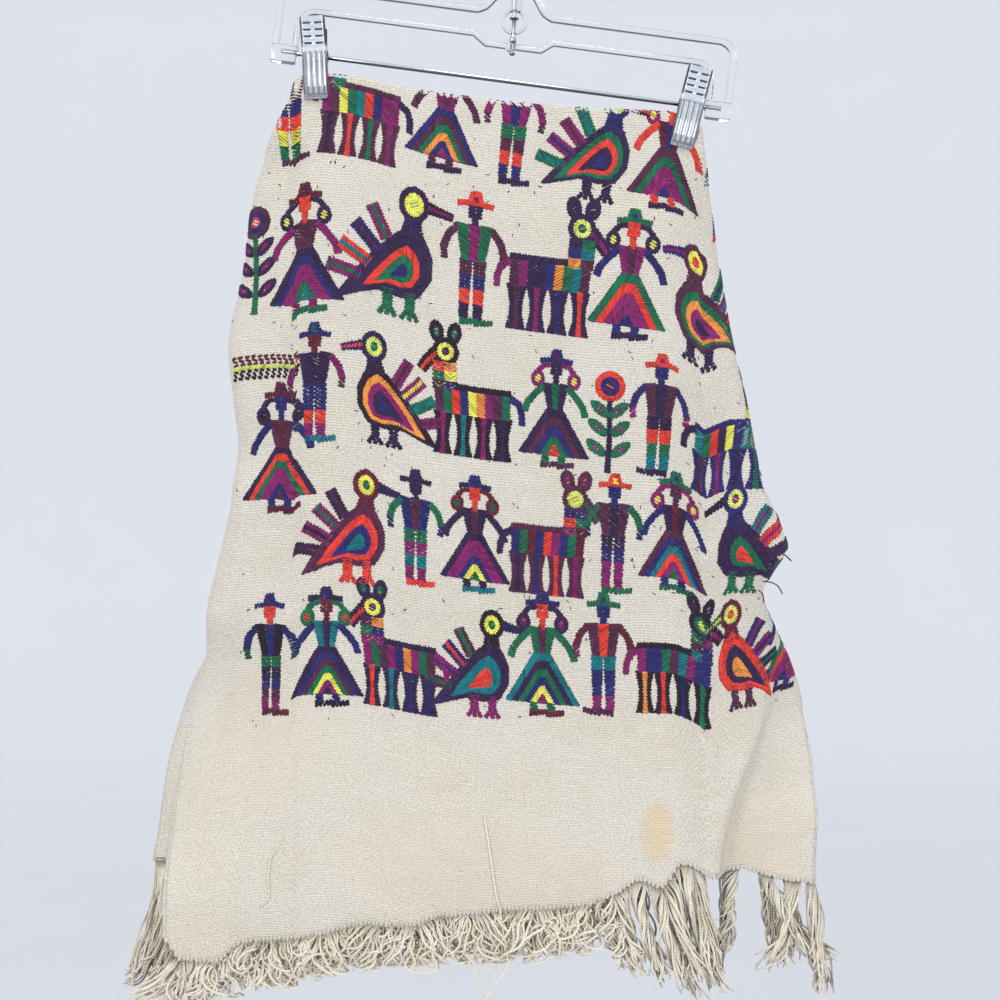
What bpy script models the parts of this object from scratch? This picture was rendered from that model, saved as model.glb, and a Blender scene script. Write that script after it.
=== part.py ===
"""Embroidered tapestry folded over at its top and clipped to a clear skirt hanger.

The cloth hangs as one sheet in two layers, front and back, with both side margins
turned behind at the top and opening out towards the hem. A fringe hangs from each hem.

Units are metres in the scene. Sizes below are millimetres, turned to metres by MM.
X runs to the right, Y to the back and Z up. The origin is the point where the
hanger's hook rests on whatever holds it. "drop" is a distance below that point.
"""

import math
import random

import bmesh
import bpy
from mathutils import Matrix, Vector

MM = 0.001
GAP = 0.3

# Cloth
CLOTH_WIDTH = 520.0
CLOTH_THICKNESS = 1.5
SELVEDGE_X = -267.0
TOP_FOLD_RADIUS = 1.5
FLAT_Y = -3.2
CREASE_LENGTH = 30.0
TAIL_DROP = 4.0
BACK_SHIFT = 10.0

# Height of the top fold: x, drop
TOP_LINE = (
    (-170, 113.0), (-156, 111.5), (-131, 112.7), (-71, 124.1),
    (-17, 131.8), (72, 138.6), (112, 140.0), (137, 150.0),
)

# Front hem: x, drop
FRONT_HEM = (
    (-267, 764.0), (-256, 780.0), (-228, 781.5), (-213, 770.0), (-170, 766.0),
    (-110, 755.0), (-84, 756.5), (-62, 749.0), (-12, 745.0), (50, 740.5),
    (74, 729.0), (91, 719.0), (106, 725.0), (122, 708.0), (150, 721.0),
    (171, 718.0), (205, 727.0), (230, 729.0),
)

# Back hem: x, drop
BACK_HEM = ((-277, 712.0), (-228, 714.0), (-91, 725.0), (61, 713.0), (220, 716.0))

# Left margin: drop, outline x, crease x, length turned behind, fold radius, turn
LEFT_MARGIN = (
    (108, -168.5, -135, 93, 3.2, 180), (135, -177.5, -135, 84, 3.2, 180),
    (150, -185.0, -135, 70, 6.0, 172), (176, -196.5, -135, 52, 9.0, 162),
    (206, -205.5, -135, 39, 12.0, 152), (252, -211.0, -135, 31, 15.0, 142),
    (316, -222.5, -135, 22, 16.0, 132), (358, -218.5, -136, 26, 16.0, 130),
    (396, -215.5, -137, 28, 16.0, 127), (430, -219.0, -138, 28, 17.0, 120),
    (469, -227.0, -140, 21, 18.0, 110), (519, -238.0, -145, 13, 20.0, 98),
    (557, -242.0, -150, 9, 22.0, 86), (587, -251.0, -158, 3, 24.0, 66),
    (648, -259.5, -168, 0, 24.0, 44), (690, -264.0, -175, 0, 24.0, 28),
    (740, -267.0, -180, 0, 24.0, 12), (800, -267.0, -180, 0, 24.0, 12),
)

# Right margin: drop, outline x, crease x, length turned behind, fold radius, turn
RIGHT_MARGIN = (
    (136, 137.0, 100, 110, 3.2, 180), (170, 140.0, 100, 107, 3.2, 180),
    (196, 143.0, 98, 96, 7.0, 168), (253, 151.5, 98, 79, 12.0, 156),
    (313, 161.5, 98, 68, 14.0, 148), (360, 172.0, 100, 59, 14.0, 142),
    (419, 183.5, 103, 50, 13.0, 138), (454, 197.0, 106, 40, 11.0, 135),
    (470, 201.5, 108, 37, 11.0, 130), (490, 191.5, 108, 45, 13.0, 124),
    (504, 185.0, 108, 49, 15.0, 120), (522, 189.5, 110, 43, 16.0, 112),
    (540, 198.0, 114, 34, 17.0, 102), (568, 213.0, 124, 18, 18.0, 86),
    (598, 223.0, 138, 6, 20.0, 62), (647, 230.5, 150, 0, 20.0, 18),
    (690, 230.5, 150, 0, 20.0, 5), (730, 228.0, 150, 0, 20.0, 5),
    (800, 228.0, 150, 0, 20.0, 5),
)

# Distance between the two layers: drop below the top fold, distance
LAYER_GAP = (
    (0, 3.0), (32, 3.0), (60, 4.0), (140, 7.0), (290, 9.0), (410, 12.0), (530, 14.0), (800, 14.0),
)

# Pleat at the lower right: drop, x of its line, cloth taken up, step back
PLEAT = (
    (500, 205, 0, 0), (560, 200, 3, 2), (592, 194, 10, 7), (631, 177, 17, 13),
    (665, 164, 22, 17), (720, 153, 25, 19), (800, 150, 25, 19),
)
PLEAT_WIDTH = 13.0

# Soft folds of the front: x at top, x at bottom, first drop, last drop, width, forward
SOFT_FOLDS = (
    (-8, -14, 560, 800, 16, -2.4), (48, 52, 600, 800, 14, -2.0), (206, 196, 610, 800, 16, -6.0),
    (178, 214, 640, 800, 12, 3.0), (-232, -246, 590, 800, 22, 5.0), (-60, -90, 520, 800, 60, 3.0),
    (96, 108, 560, 790, 30, 4.0), (60, 70, 170, 560, 60, 3.0), (-90, -96, 200, 560, 46, -3.0),
    (128, 150, 200, 520, 26, -3.5), (-178, -196, 250, 520, 18, -2.5),
)

FRONT_ROWS = (
    1.0, 0.975, 0.94, 0.9, 0.855, 0.81, 0.765, 0.72, 0.675, 0.63, 0.59, 0.555, 0.52,
    0.48, 0.43, 0.38, 0.33, 0.28, 0.23, 0.18, 0.135, 0.1, 0.07, 0.045, 0.025, 0.008,
)
BACK_ROWS = (
    0.008, 0.025, 0.045, 0.07, 0.1, 0.14, 0.19, 0.25, 0.32, 0.39, 0.46, 0.53,
    0.59, 0.64, 0.7, 0.77, 0.84, 0.92, 1.0,
)
# Drops of each side's top fold and hems, which set where the mesh columns fall
SIDE_TOPS = {-1: 115.0, 1: 152.0}
SIDE_HEMS = {"front": {-1: 770.0, 1: 722.0}, "back": {-1: 713.0, 1: 716.0}}
FOLD_STEPS = 5
# Share of the way down from which the columns even out, to be even at the hem
EVEN_FROM = 0.8
TAIL_CELLS, BEND_CELLS, RUN_CELLS, MIDDLE_CELLS = 2, 5, 3, 16

# Fringe
STRIP_HEIGHT = 4.0
STRIP_THICKNESS = 2.0
ROOT_SHARE = 0.66
LOCK_WIDTH = 8.6
LOCK_DEPTH = 5.6
STRIP_GAP = 0.4

# How the front locks hang: x, length of the hanging part, crumple forward, sway, waves
FRONT_HANG = (
    (-270, 32, 9, -10, 2), (-225, 30, 12, -5, 2), (-180, 36, 12, 0, 2), (-120, 37, 12, 3, 2),
    (-60, 42, 13, 0, 2), (0, 40, 13, 3, 2), (50, 42, 12, 4, 2), (68, 62, 9, 8, 1),
    (85, 82, 5, 10, 1), (120, 90, 4, 8, 1), (150, 88, 4, 3, 1), (185, 84, 5, 4, 1),
    (212, 82, 5, -3, 1), (232, 62, 5, 10, 1),
)
# How the back locks hang, in the same columns
BACK_HANG = (
    (-280, 92, 4, -22, 1), (-250, 90, 4, -18, 1), (-210, 84, 5, -10, 1), (-150, 74, 6, -4, 1),
    (-60, 64, 6, 0, 1), (40, 66, 6, 3, 1), (85, 80, 5, 4, 1), (220, 82, 5, 6, 1),
)

# Hanger, in its own tilted axes: a runs along the bars, b at right angles, up
HANGER_TILT = 7.5
HANGER_X = -4.3
HANGER_DROP = 70.0
FRAME_CENTRE = -4.0
OUTER_HALF = 174.0
INNER_HALF = 159.0
OUTER_TOP = 5.5
INNER_TOP = -12.5
INNER_DIP = -19.4
HUMP_TOP = 26.0
CORNER = 13.0
OUTER_RADIUS = 2.9
INNER_RADIUS = 2.6
BAR_END = -48.0
BRACKET_LOW = -54.0
BRACKET_HIGH = -40.0
BRACKET_REACH = 157.5
BRACKET_THICKNESS = 7.0
ROD_B = -45.6
ROD_RADIUS = 1.65
ROD_HALF = 169.0
ROD_CENTRE = -4.0
RING_RADIUS = 10.0
RING_WIDTH = 2.4
RING_THICKNESS = 3.4
SLEEVE_RADIUS = 4.4

# Hook, in its own leaning axis measured up from the ring's middle
HOOK_LEAN = 3.52
WIRE_RADIUS = 1.5
HOOK_RADIUS = 16.5
HOOK_CENTRE = 55.0
SHANK_TOP = 29.5
SHANK_BEND = 6.0

# Clips, in their own axes: h runs up from the jaw tips, d away from the cloth
CLIP_WIDTH = 18.5
BACK_CLIP_WIDTH = 15.7
CLIP_SHEET = 1.1
FLANGE_SHEET = 1.0
ROD_HEIGHT = 34.5
ROD_HOLE = 3.6
# Inner face of a clip's plate: d, h
CLIP_INNER = (
    (6.9, 0.0), (5.75, 1.8), (5.75, 4.2), (7.6, 9.0), (8.2, 20.0),
    (7.6, 34.5), (8.8, 42.0), (14.4, 60.0),
)
# Ear around the rod: d, h
CLIP_EAR = (
    (8.3, 29.6), (3.0, 29.4), (-2.6, 29.6), (-5.3, 32.4), (-5.3, 36.6),
    (-2.6, 39.5), (3.0, 39.8), (8.8, 41.5),
)
# Clips on the rod: name, x, lean
CLIPS = (("left", -155.6, -2.5), ("right", 130.4, 13.6))
SPRING_OUTER = 3.4
SPRING_LENGTH = 10.4


def smooth(t):
    """Rises from 0 to 1 with level ends."""
    t = min(max(t, 0.0), 1.0)
    return t * t * (3 - 2 * t)


def table_slopes(xs, ys):
    """Slopes that keep a cubic through the points from overshooting."""
    steps = [(ys[i + 1] - ys[i]) / (xs[i + 1] - xs[i]) for i in range(len(xs) - 1)]
    slopes = [steps[0]]
    for left, right in zip(steps, steps[1:]):
        slopes.append(2 * left * right / (left + right) if left * right > 0 else 0.0)
    return slopes + [steps[-1]]


class Curve:
    """A table whose columns follow the first one on smooth curves."""

    def __init__(self, rows):
        columns = list(zip(*rows))
        self.xs = columns[0]
        self.columns = [(ys, table_slopes(self.xs, ys)) for ys in columns[1:]]

    def at(self, x):
        xs = self.xs
        x = min(max(x, xs[0]), xs[-1])
        i = max(k for k in range(len(xs) - 1) if xs[k] <= x)
        span = xs[i + 1] - xs[i]
        t = (x - xs[i]) / span
        values = []
        for ys, slopes in self.columns:
            start = (1 + 2 * t) * (1 - t) ** 2 * ys[i] + t * (1 - t) ** 2 * span * slopes[i]
            end = t * t * (3 - 2 * t) * ys[i + 1] + t * t * (t - 1) * span * slopes[i + 1]
            values.append(start + end)
        return values


TOP = Curve(TOP_LINE)
GAPS = Curve(LAYER_GAP)
PLEATS = Curve(PLEAT)
HEMS = {"front": Curve(FRONT_HEM), "back": Curve(BACK_HEM)}


def advance(place, angle, length, turn):
    """Moves along an arc: outwards and back from the viewer, angle measured from outwards."""
    out, back = place
    if abs(turn) < 1e-9:
        return (out + length * math.cos(angle), back + length * math.sin(angle)), angle
    radius = length / turn
    out += radius * (math.sin(angle + turn) - math.sin(angle))
    back += radius * (math.cos(angle) - math.cos(angle + turn))
    return (out, back), angle + turn


def margin_pieces(length, hidden, radius, turn, slant):
    """Lengths and turns of a margin from its crease to its selvedge."""
    bend = radius * (turn - slant)
    run = max(length - hidden - CREASE_LENGTH - bend, 0.0)
    return ((CREASE_LENGTH, slant), (run, 0.0), (bend, turn - slant), (length, 0.0))


def margin_point(s, pieces):
    """Place and angle at a distance s from the crease."""
    place, angle = (0.0, 0.0), 0.0
    for length, turn in pieces:
        part = min(s, length)
        if length > 0:
            place, angle = advance(place, angle, part, turn * part / length)
        s -= part
        if s <= 0:
            break
    return place, angle


def margin_reach(length, pieces):
    return max(margin_point(length * i / 80, pieces)[0][0] for i in range(81))


def solved_margin(rows, side, selvedge):
    """Adds to each row the slant that brings the margin's outline to its place."""
    solved = []
    for drop, edge, crease, hidden, radius, turn in rows:
        length = side * (selvedge(drop) - crease)
        wanted = side * (edge - crease)
        turn = math.radians(turn)
        low, high = 0.0, min(1.2, turn)
        for _ in range(30):
            middle = (low + high) / 2
            pieces = margin_pieces(length, hidden, radius, turn, middle)
            low, high = (middle, high) if margin_reach(length, pieces) > wanted else (low, middle)
        solved.append((drop, crease, hidden, radius, turn, low))
    return Curve(solved)


def right_selvedge(drop):
    return SELVEDGE_X + CLOTH_WIDTH - PLEATS.at(drop)[1]


MARGINS = {
    -1: solved_margin(LEFT_MARGIN, -1, lambda drop: SELVEDGE_X),
    1: solved_margin(RIGHT_MARGIN, 1, right_selvedge),
}


def relief(x, drop):
    """How far the cloth stands back from its plane because of pleat and soft folds."""
    line, _, step = PLEATS.at(drop)
    back = step * smooth((x - line) / PLEAT_WIDTH + 0.5)
    for x_top, x_bottom, first, last, width, forward in SOFT_FOLDS:
        share = min(max((drop - first) / (last - first), 0.0), 1.0)
        centre = x_top + (x_bottom - x_top) * share
        ends = smooth((drop - first) / 60)
        back -= forward * ends * math.exp(-((x - centre) / width) ** 2)
    return back


def flat_x(u, drop):
    """Where a point u from the left selvedge lies across, before the margins turn."""
    line, taken, _ = PLEATS.at(drop)
    x = SELVEDGE_X + u
    return x - taken * smooth((x - line - taken / 2) / (PLEAT_WIDTH + taken) + 0.5)


def section(u, drop):
    """Middle of the two layers at this drop: x, y and the direction that faces out."""
    x = flat_x(u, drop)
    normal = (0.0, -1.0)
    y = FLAT_Y
    for side in (-1, 1):
        crease, hidden, radius, turn, slant = MARGINS[side].at(drop)
        if side * (x - crease) <= 0:
            continue
        selvedge = SELVEDGE_X if side < 0 else right_selvedge(drop)
        pieces = margin_pieces(side * (selvedge - crease), hidden, radius, turn, slant)
        (out, back), angle = margin_point(side * (x - crease), pieces)
        x, y = crease + side * out, FLAT_Y + back
        normal = (side * math.sin(angle), -math.cos(angle))
        fade = max(math.cos(angle), 0.0)
        depth = relief(x, drop) * fade
        return x - normal[0] * depth, y - normal[1] * depth, normal
    return x, y + relief(x, drop), normal


def top_drop(u):
    """Drop of the top fold; a margin turned behind stays a little lower than the front."""
    level = TOP.at(flat_x(u, 120.0))[0]
    x, y, _ = section(u, level)
    return TOP.at(x)[0] + TAIL_DROP * smooth((y - FLAT_Y) / 5.0)


def layer_point(u, share, layer):
    """A point of one layer, share of the way down from the top fold to its hem."""
    top = top_drop(u) + TOP_FOLD_RADIUS
    shift = BACK_SHIFT if layer == "back" else 0.0
    hem = HEMS[layer].at(flat_x(u, 760.0) - shift)[0]
    drop = top + share * (hem - top)
    x, y, normal = section(u, drop)
    half = GAPS.at(drop - top)[0] / 2
    half = half if layer == "front" else -half
    x += normal[0] * half - shift * smooth((drop - 480) / 150)
    return Vector((x, y + normal[1] * half, -drop))


def fold_point(u, angle):
    """A point of the turn that joins the two layers at the top."""
    drop = top_drop(u) + TOP_FOLD_RADIUS
    x, y, normal = section(u, drop)
    reach = TOP_FOLD_RADIUS * math.cos(angle)
    rise = TOP_FOLD_RADIUS * math.sin(angle)
    return Vector((x + normal[0] * reach, y + normal[1] * reach, rise - drop))


def column_places(share, layer):
    """Distances from the left selvedge of the mesh columns, this share of the way down."""
    stops = {}
    for side in (-1, 1):
        top, hem = SIDE_TOPS[side], SIDE_HEMS[layer][side]
        drop = top + share * (hem - top)
        crease, hidden, radius, turn, slant = MARGINS[side].at(drop)
        selvedge = SELVEDGE_X if side < 0 else right_selvedge(drop)
        length = side * (selvedge - crease)
        bend = radius * (turn - slant)
        tail = min(max(hidden, 16.0), length * 0.8)
        bend = min(max(bend, 9.0 + 30.0 * share), length - tail - 12.0)
        stops[side] = (0.0, tail, tail + bend, length)
    left = [(stops[-1][i], stops[-1][i + 1], cells)
            for i, cells in enumerate((TAIL_CELLS, BEND_CELLS, RUN_CELLS))]
    right = [(CLOTH_WIDTH - stops[1][i + 1], CLOTH_WIDTH - stops[1][i], cells)
             for i, cells in enumerate((TAIL_CELLS, BEND_CELLS, RUN_CELLS))]
    spans = left + [(stops[-1][3], CLOTH_WIDTH - stops[1][3], MIDDLE_CELLS)] + right[::-1]
    places = [0.0]
    for start, end, cells in spans:
        places += [start + (end - start) * k / cells for k in range(1, cells + 1)]
    even = smooth((share - EVEN_FROM) / (1 - EVEN_FROM))
    step = CLOTH_WIDTH / (len(places) - 1)
    return [place + even * (step * k - place) for k, place in enumerate(places)]


def cloth_rows():
    """The sheet as rows of points, from the front hem over the top to the back hem."""
    rows = []
    for share in FRONT_ROWS:
        rows.append([layer_point(u, share, "front") for u in column_places(share, "front")])
    for k in range(FOLD_STEPS + 1):
        rows.append([fold_point(u, math.pi * k / FOLD_STEPS) for u in column_places(0.0, "front")])
    for share in BACK_ROWS:
        rows.append([layer_point(u, share, "back") for u in column_places(share, "back")])
    return rows


def material(name, colour, roughness, metallic=0.0, alpha=1.0, transmission=0.0):
    made = bpy.data.materials.new(name)
    made.use_nodes = True
    shader = made.node_tree.nodes["Principled BSDF"]
    shader.inputs["Base Color"].default_value = (*colour, 1.0)
    shader.inputs["Roughness"].default_value = roughness
    shader.inputs["Metallic"].default_value = metallic
    shader.inputs["Alpha"].default_value = alpha
    shader.inputs["Transmission Weight"].default_value = transmission
    made.diffuse_color = (*colour, alpha)
    return made


def new_collection(name, hidden=False):
    made = bpy.data.collections.new(name)
    bpy.context.scene.collection.children.link(made)
    made.hide_render = hidden
    return made


def new_object(name, data, collection, finish=None):
    made = bpy.data.objects.new(name, data)
    collection.objects.link(made)
    if finish:
        data.materials.append(finish)
    return made


def mesh_from(name, build):
    """A mesh that the function build shapes in a bmesh."""
    shape = bmesh.new()
    build(shape)
    mesh = bpy.data.meshes.new(name)
    shape.to_mesh(mesh)
    shape.free()
    return mesh


def make_cloth(collection, finish):
    rows = cloth_rows()
    across, along = len(rows[0]), len(rows)

    def build(shape):
        bmesh.ops.create_grid(shape, x_segments=across - 1, y_segments=along - 1, size=1.0)
        shape.verts.ensure_lookup_table()
        for vert in shape.verts:
            column = round((vert.co.x + 1) / 2 * (across - 1))
            row = round((vert.co.y + 1) / 2 * (along - 1))
            vert.co = rows[row][column] * MM

    cloth = new_object("cloth", mesh_from("cloth", build), collection, finish)
    cloth.data.shade_smooth()
    sheet = cloth.modifiers.new("thickness", "SOLIDIFY")
    sheet.thickness = CLOTH_THICKNESS * MM
    sheet.offset = 0.0
    sheet.use_even_offset = True
    return cloth


def lock_path(root, down, normal, hang, wobble):
    """Middle points of one lock of the fringe, from its root to its tip."""
    length, forward, sway, waves = hang
    steps = 6 if waves > 1.5 else 4
    points = []
    for k in range(1, steps + 1):
        t = k / steps
        out = forward * (0.5 - 0.5 * math.cos(2 * math.pi * waves * t))
        side = sway * t ** 1.4 + wobble * math.sin(2.2 * math.pi * t)
        points.append(root + down * (length * t) + normal * out + Vector((side, 0, 0)))
    return points


def level_normal(start, end):
    """The direction that faces out from a level run of the cloth."""
    run = Vector((end.x - start.x, end.y - start.y, 0)).normalized()
    return Vector((run.y, -run.x, 0))


def make_fringe(name, layer, table, collection, finish, seed):
    """A narrow strip just off the hem, with one lock drawn down from each cell of the cloth."""
    draw = random.Random(seed)
    hang_table = Curve(table)
    down = Vector((0, 0, -1))
    half = STRIP_THICKNESS / 2
    shape = bmesh.new()
    hem = [layer_point(u, 1.0, layer) for u in column_places(1.0, layer)]
    facing = [level_normal(start, end) for start, end in zip(hem, hem[1:])]

    def bar(place, normal):
        """One station of the strip: front top, front low, back low and back top."""
        top = place + down * STRIP_GAP
        low = top + down * STRIP_HEIGHT
        points = (top + normal * half, low + normal * half, low - normal * half, top - normal * half)
        return [shape.verts.new(point * MM) for point in points]

    def lock(ring, root, normal):
        """Draws a lock down from the four root corners and closes its tip."""
        along = Vector((-normal.y, normal.x, 0))
        hang = hang_table.at(root.x)
        hang[0] *= draw.uniform(0.96, 1.03)
        path = lock_path(root, down, normal, hang, draw.uniform(-0.8, 0.8))
        for k, centre in enumerate(path):
            t = (k + 1) / len(path)
            across = along * (LOCK_WIDTH * (1.0 - 0.38 * t) / 2)
            out = normal * (LOCK_DEPTH * (1.0 - 0.4 * t) / 2)
            right, left = centre + across, centre - across
            corners = (left + out, right + out, right - out, left - out)
            following = [shape.verts.new(point * MM) for point in corners]
            for c in range(4):
                shape.faces.new((ring[c], ring[(c + 1) % 4], following[(c + 1) % 4], following[c]))
            ring = following
        shape.faces.new(ring)

    bars = []
    for i, normal in enumerate(facing):
        mean = (normal + facing[max(i - 1, 0)]).normalized()
        run = hem[i + 1] - hem[i]
        bars.append(bar(hem[i], mean))
        bars.append(bar(hem[i] + run * (1 - ROOT_SHARE) / 2, normal))
        bars.append(bar(hem[i] + run * (1 + ROOT_SHARE) / 2, normal))
    bars.append(bar(hem[-1], facing[-1]))
    for i, (left, right) in enumerate(zip(bars, bars[1:])):
        for a, b in ((0, 1), (2, 3), (3, 0)):
            shape.faces.new((left[a], left[b], right[b], right[a]))
        cell = i // 3
        if i % 3 == 1:
            root = (hem[cell] + hem[cell + 1]) / 2 + down * (STRIP_GAP + STRIP_HEIGHT)
            lock([left[1], right[1], right[2], left[2]], root, facing[cell])
        else:
            shape.faces.new((left[1], left[2], right[2], right[1]))
    shape.faces.new(bars[0][::-1])
    shape.faces.new(bars[-1])
    bmesh.ops.recalc_face_normals(shape, faces=shape.faces)
    mesh = bpy.data.meshes.new(name)
    shape.to_mesh(mesh)
    shape.free()
    return new_object(name, mesh, collection, finish)


def arc(centre, radius, start, end, steps):
    """Points on an arc, with angles in degrees."""
    points = []
    for k in range(steps + 1):
        angle = math.radians(start + (end - start) * k / steps)
        points.append((centre[0] + radius * math.cos(angle), centre[1] + radius * math.sin(angle)))
    return points


def wire(name, points, radius, collection, finish=None):
    """A round bar through points of the upright plane, in metres after MM."""
    data = bpy.data.curves.new(name, "CURVE")
    data.dimensions = "3D"
    data.bevel_depth = radius * MM
    data.bevel_resolution = 2
    data.use_fill_caps = True
    line = data.splines.new("POLY")
    line.points.add(len(points) - 1)
    for point, (a, b) in zip(line.points, points):
        point.co = (a * MM, 0.0, b * MM, 1.0)
    return new_object(name, data, collection, finish)


def as_mesh(obj):
    """Turns a curve object into a mesh object with welded caps."""
    bpy.context.view_layer.update()
    evaluated = obj.evaluated_get(bpy.context.evaluated_depsgraph_get())
    mesh = bpy.data.meshes.new_from_object(evaluated)
    shape = bmesh.new()
    shape.from_mesh(mesh)
    bmesh.ops.remove_doubles(shape, verts=shape.verts, dist=1e-6)
    shape.to_mesh(mesh)
    shape.free()
    made = bpy.data.objects.new(obj.name + "_solid", mesh)
    made.matrix_world = obj.matrix_world.copy()
    obj.users_collection[0].objects.link(made)
    bpy.data.objects.remove(obj)
    return made


def flat_outline(name, outline, thickness, collection, hole=None):
    """A sheet cut to a closed outline, with an optional round hole."""
    data = bpy.data.curves.new(name, "CURVE")
    data.dimensions = "2D"
    data.fill_mode = "BOTH"
    data.extrude = thickness / 2 * MM
    loops = [outline]
    if hole:
        loops.append(arc(hole[0], hole[1], 0, 345, 23))
    for points in loops:
        line = data.splines.new("POLY")
        line.points.add(len(points) - 1)
        line.use_cyclic_u = True
        for point, (a, b) in zip(line.points, points):
            point.co = (a * MM, b * MM, 0.0, 1.0)
    return new_object(name, data, collection)


def cylinder(name, radius, length, matrix, collection, sides=20):
    """A round bar along the local Z axis, centred on the matrix."""
    def build(shape):
        bmesh.ops.create_cone(
            shape, cap_ends=True, segments=sides, radius1=radius * MM,
            radius2=radius * MM, depth=length * MM, matrix=matrix,
        )

    return new_object(name, mesh_from(name, build), collection)


def combine(target, others, operation, cutters):
    """Joins or cuts with live Boolean modifiers; the other shapes become hidden guides."""
    for other in others:
        step = target.modifiers.new(other.name, "BOOLEAN")
        step.operation = operation
        step.solver = "EXACT"
        step.object = other
        for owner in list(other.users_collection):
            owner.objects.unlink(other)
        cutters.objects.link(other)
        other.hide_render = True
        other.display_type = "WIRE"


def upright(a, b):
    """A local Z axis turned to the upright direction of the hanger's plane, at (a, b)."""
    return Matrix.Translation(Vector((a, 0, b)) * MM)


def along_bar(a, b):
    """A local Z axis turned along the bars, at (a, b)."""
    return Matrix.Translation(Vector((a, 0, b)) * MM) @ Matrix.Rotation(math.radians(90), 4, "Y")


def bar_path(half, top, low, middle):
    """A bar with two uprights, rounded corners and a shaped middle stretch."""
    left, right = FRAME_CENTRE - half, FRAME_CENTRE + half
    start = arc((left + CORNER, top - CORNER), CORNER, 180, 90, 5)
    end = arc((right - CORNER, top - CORNER), CORNER, 90, 0, 5)
    return [(left, low)] + start + middle + end + [(right, low)]


def make_frame(parent, collection, cutters, finish):
    """The clear moulded frame: two bars, end brackets and the ring around the hook."""
    hump = [(-29, OUTER_TOP), (-23, 8.5), (-18, 15.0), (-13, 21.5), (-7, HUMP_TOP)]
    hump += [(-a, b) for a, b in reversed(hump)]
    dip = [(-29, INNER_TOP), (-19, INNER_DIP), (23, INNER_DIP), (32, INNER_TOP)]
    outer_path = bar_path(OUTER_HALF, OUTER_TOP, BAR_END, hump)
    outer = as_mesh(wire("outer_bar", outer_path, OUTER_RADIUS, collection))
    inner_path = bar_path(INNER_HALF, INNER_TOP, BAR_END, dip)
    inner = as_mesh(wire("inner_bar", inner_path, INNER_RADIUS, collection))
    joined = [inner]
    for side in (-1, 1):
        reach = OUTER_HALF + OUTER_RADIUS
        middle = FRAME_CENTRE + side * (BRACKET_REACH + reach) / 2

        def build(shape):
            size = (reach - BRACKET_REACH, BRACKET_THICKNESS, BRACKET_HIGH - BRACKET_LOW)
            place = Matrix.Translation(Vector((middle, 0, (BRACKET_HIGH + BRACKET_LOW) / 2)) * MM)
            stretch = Matrix.Diagonal(Vector((*size, 1 / MM)) * MM)
            bmesh.ops.create_cube(shape, size=1.0, matrix=place @ stretch)

        name = f"bracket_{'left' if side < 0 else 'right'}"
        joined.append(new_object(name, mesh_from(name, build), collection))
    ring = flat_outline("ring", arc((0, 0), RING_RADIUS, 0, 345, 23), RING_THICKNESS, collection,
                        ((0, 0), RING_RADIUS - RING_WIDTH))
    ring.matrix_world = Matrix.Rotation(math.radians(90), 4, "X")
    joined.append(as_mesh(ring))
    sleeve_low = RING_RADIUS - RING_WIDTH + 0.6
    joined.append(cylinder("sleeve", SLEEVE_RADIUS, HUMP_TOP + 1 - sleeve_low,
                           upright(0, (HUMP_TOP + 1 + sleeve_low) / 2), collection, 16))
    joined.append(cylinder("lug", SLEEVE_RADIUS, 5.0, upright(0, INNER_DIP), collection, 16))
    lean = Matrix.Rotation(math.radians(HOOK_LEAN - HANGER_TILT), 4, "Y")
    rod_place = along_bar(ROD_CENTRE, ROD_B)
    bores = [
        cylinder("shank_bore", WIRE_RADIUS + GAP, 90.0, lean, collection, 16),
        cylinder("rod_bore", ROD_RADIUS + GAP, 2 * (ROD_HALF + GAP), rod_place, collection, 16),
    ]
    for piece in [outer] + joined + bores:
        piece.parent = parent
    combine(outer, joined, "UNION", cutters)
    combine(outer, bores, "DIFFERENCE", cutters)
    outer.name = "hanger_frame"
    outer.data.materials.append(finish)
    outer.data.set_sharp_from_angle(angle=math.radians(40))
    return outer


def make_hook(parent, collection, cutters, finish):
    """The swivel hook: a turned shank with collar and swaged end, and the bent wire."""
    # Turned profile, top to bottom: radius, height
    profile = (
        (0.0, 16.0), (WIRE_RADIUS, 16.0), (WIRE_RADIUS, 3.6), (3.4, 3.2), (3.4, 2.0),
        (WIRE_RADIUS, 1.6), (WIRE_RADIUS, -10.8), (2.5, -11.8), (2.6, -15.6),
        (WIRE_RADIUS, -16.2), (WIRE_RADIUS, -22.6), (2.3, -23.0), (2.3, -25.0), (0.0, -25.6),
    )

    def build(shape):
        verts = [shape.verts.new(Vector((r, 0, h)) * MM) for r, h in profile]
        for low, high in zip(verts, verts[1:]):
            shape.edges.new((low, high))

    shank = new_object("hook", mesh_from("hook", build), collection, finish)
    turned = shank.modifiers.new("turned", "SCREW")
    turned.steps = turned.render_steps = 12
    turned.use_merge_vertices = True
    turned.merge_threshold = 0.00001
    bend = [(0, 14.0)] + arc((-SHANK_BEND, SHANK_TOP), SHANK_BEND, 0, 45, 3)
    bend += arc((0, HOOK_CENTRE), HOOK_RADIUS, 225, -42, 18)
    loop = as_mesh(wire("hook_wire", bend, WIRE_RADIUS * 0.98, collection))
    shank.parent = parent
    loop.parent = parent
    combine(shank, [loop], "UNION", cutters)
    return shank


def make_rod(parent, collection, finish):
    rod = cylinder("rod", ROD_RADIUS, 2 * ROD_HALF, along_bar(ROD_CENTRE, ROD_B), collection, 16)
    rod.data.materials.append(finish)
    rod.data.set_sharp_from_angle(angle=math.radians(40))
    rod.parent = parent
    return rod


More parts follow.
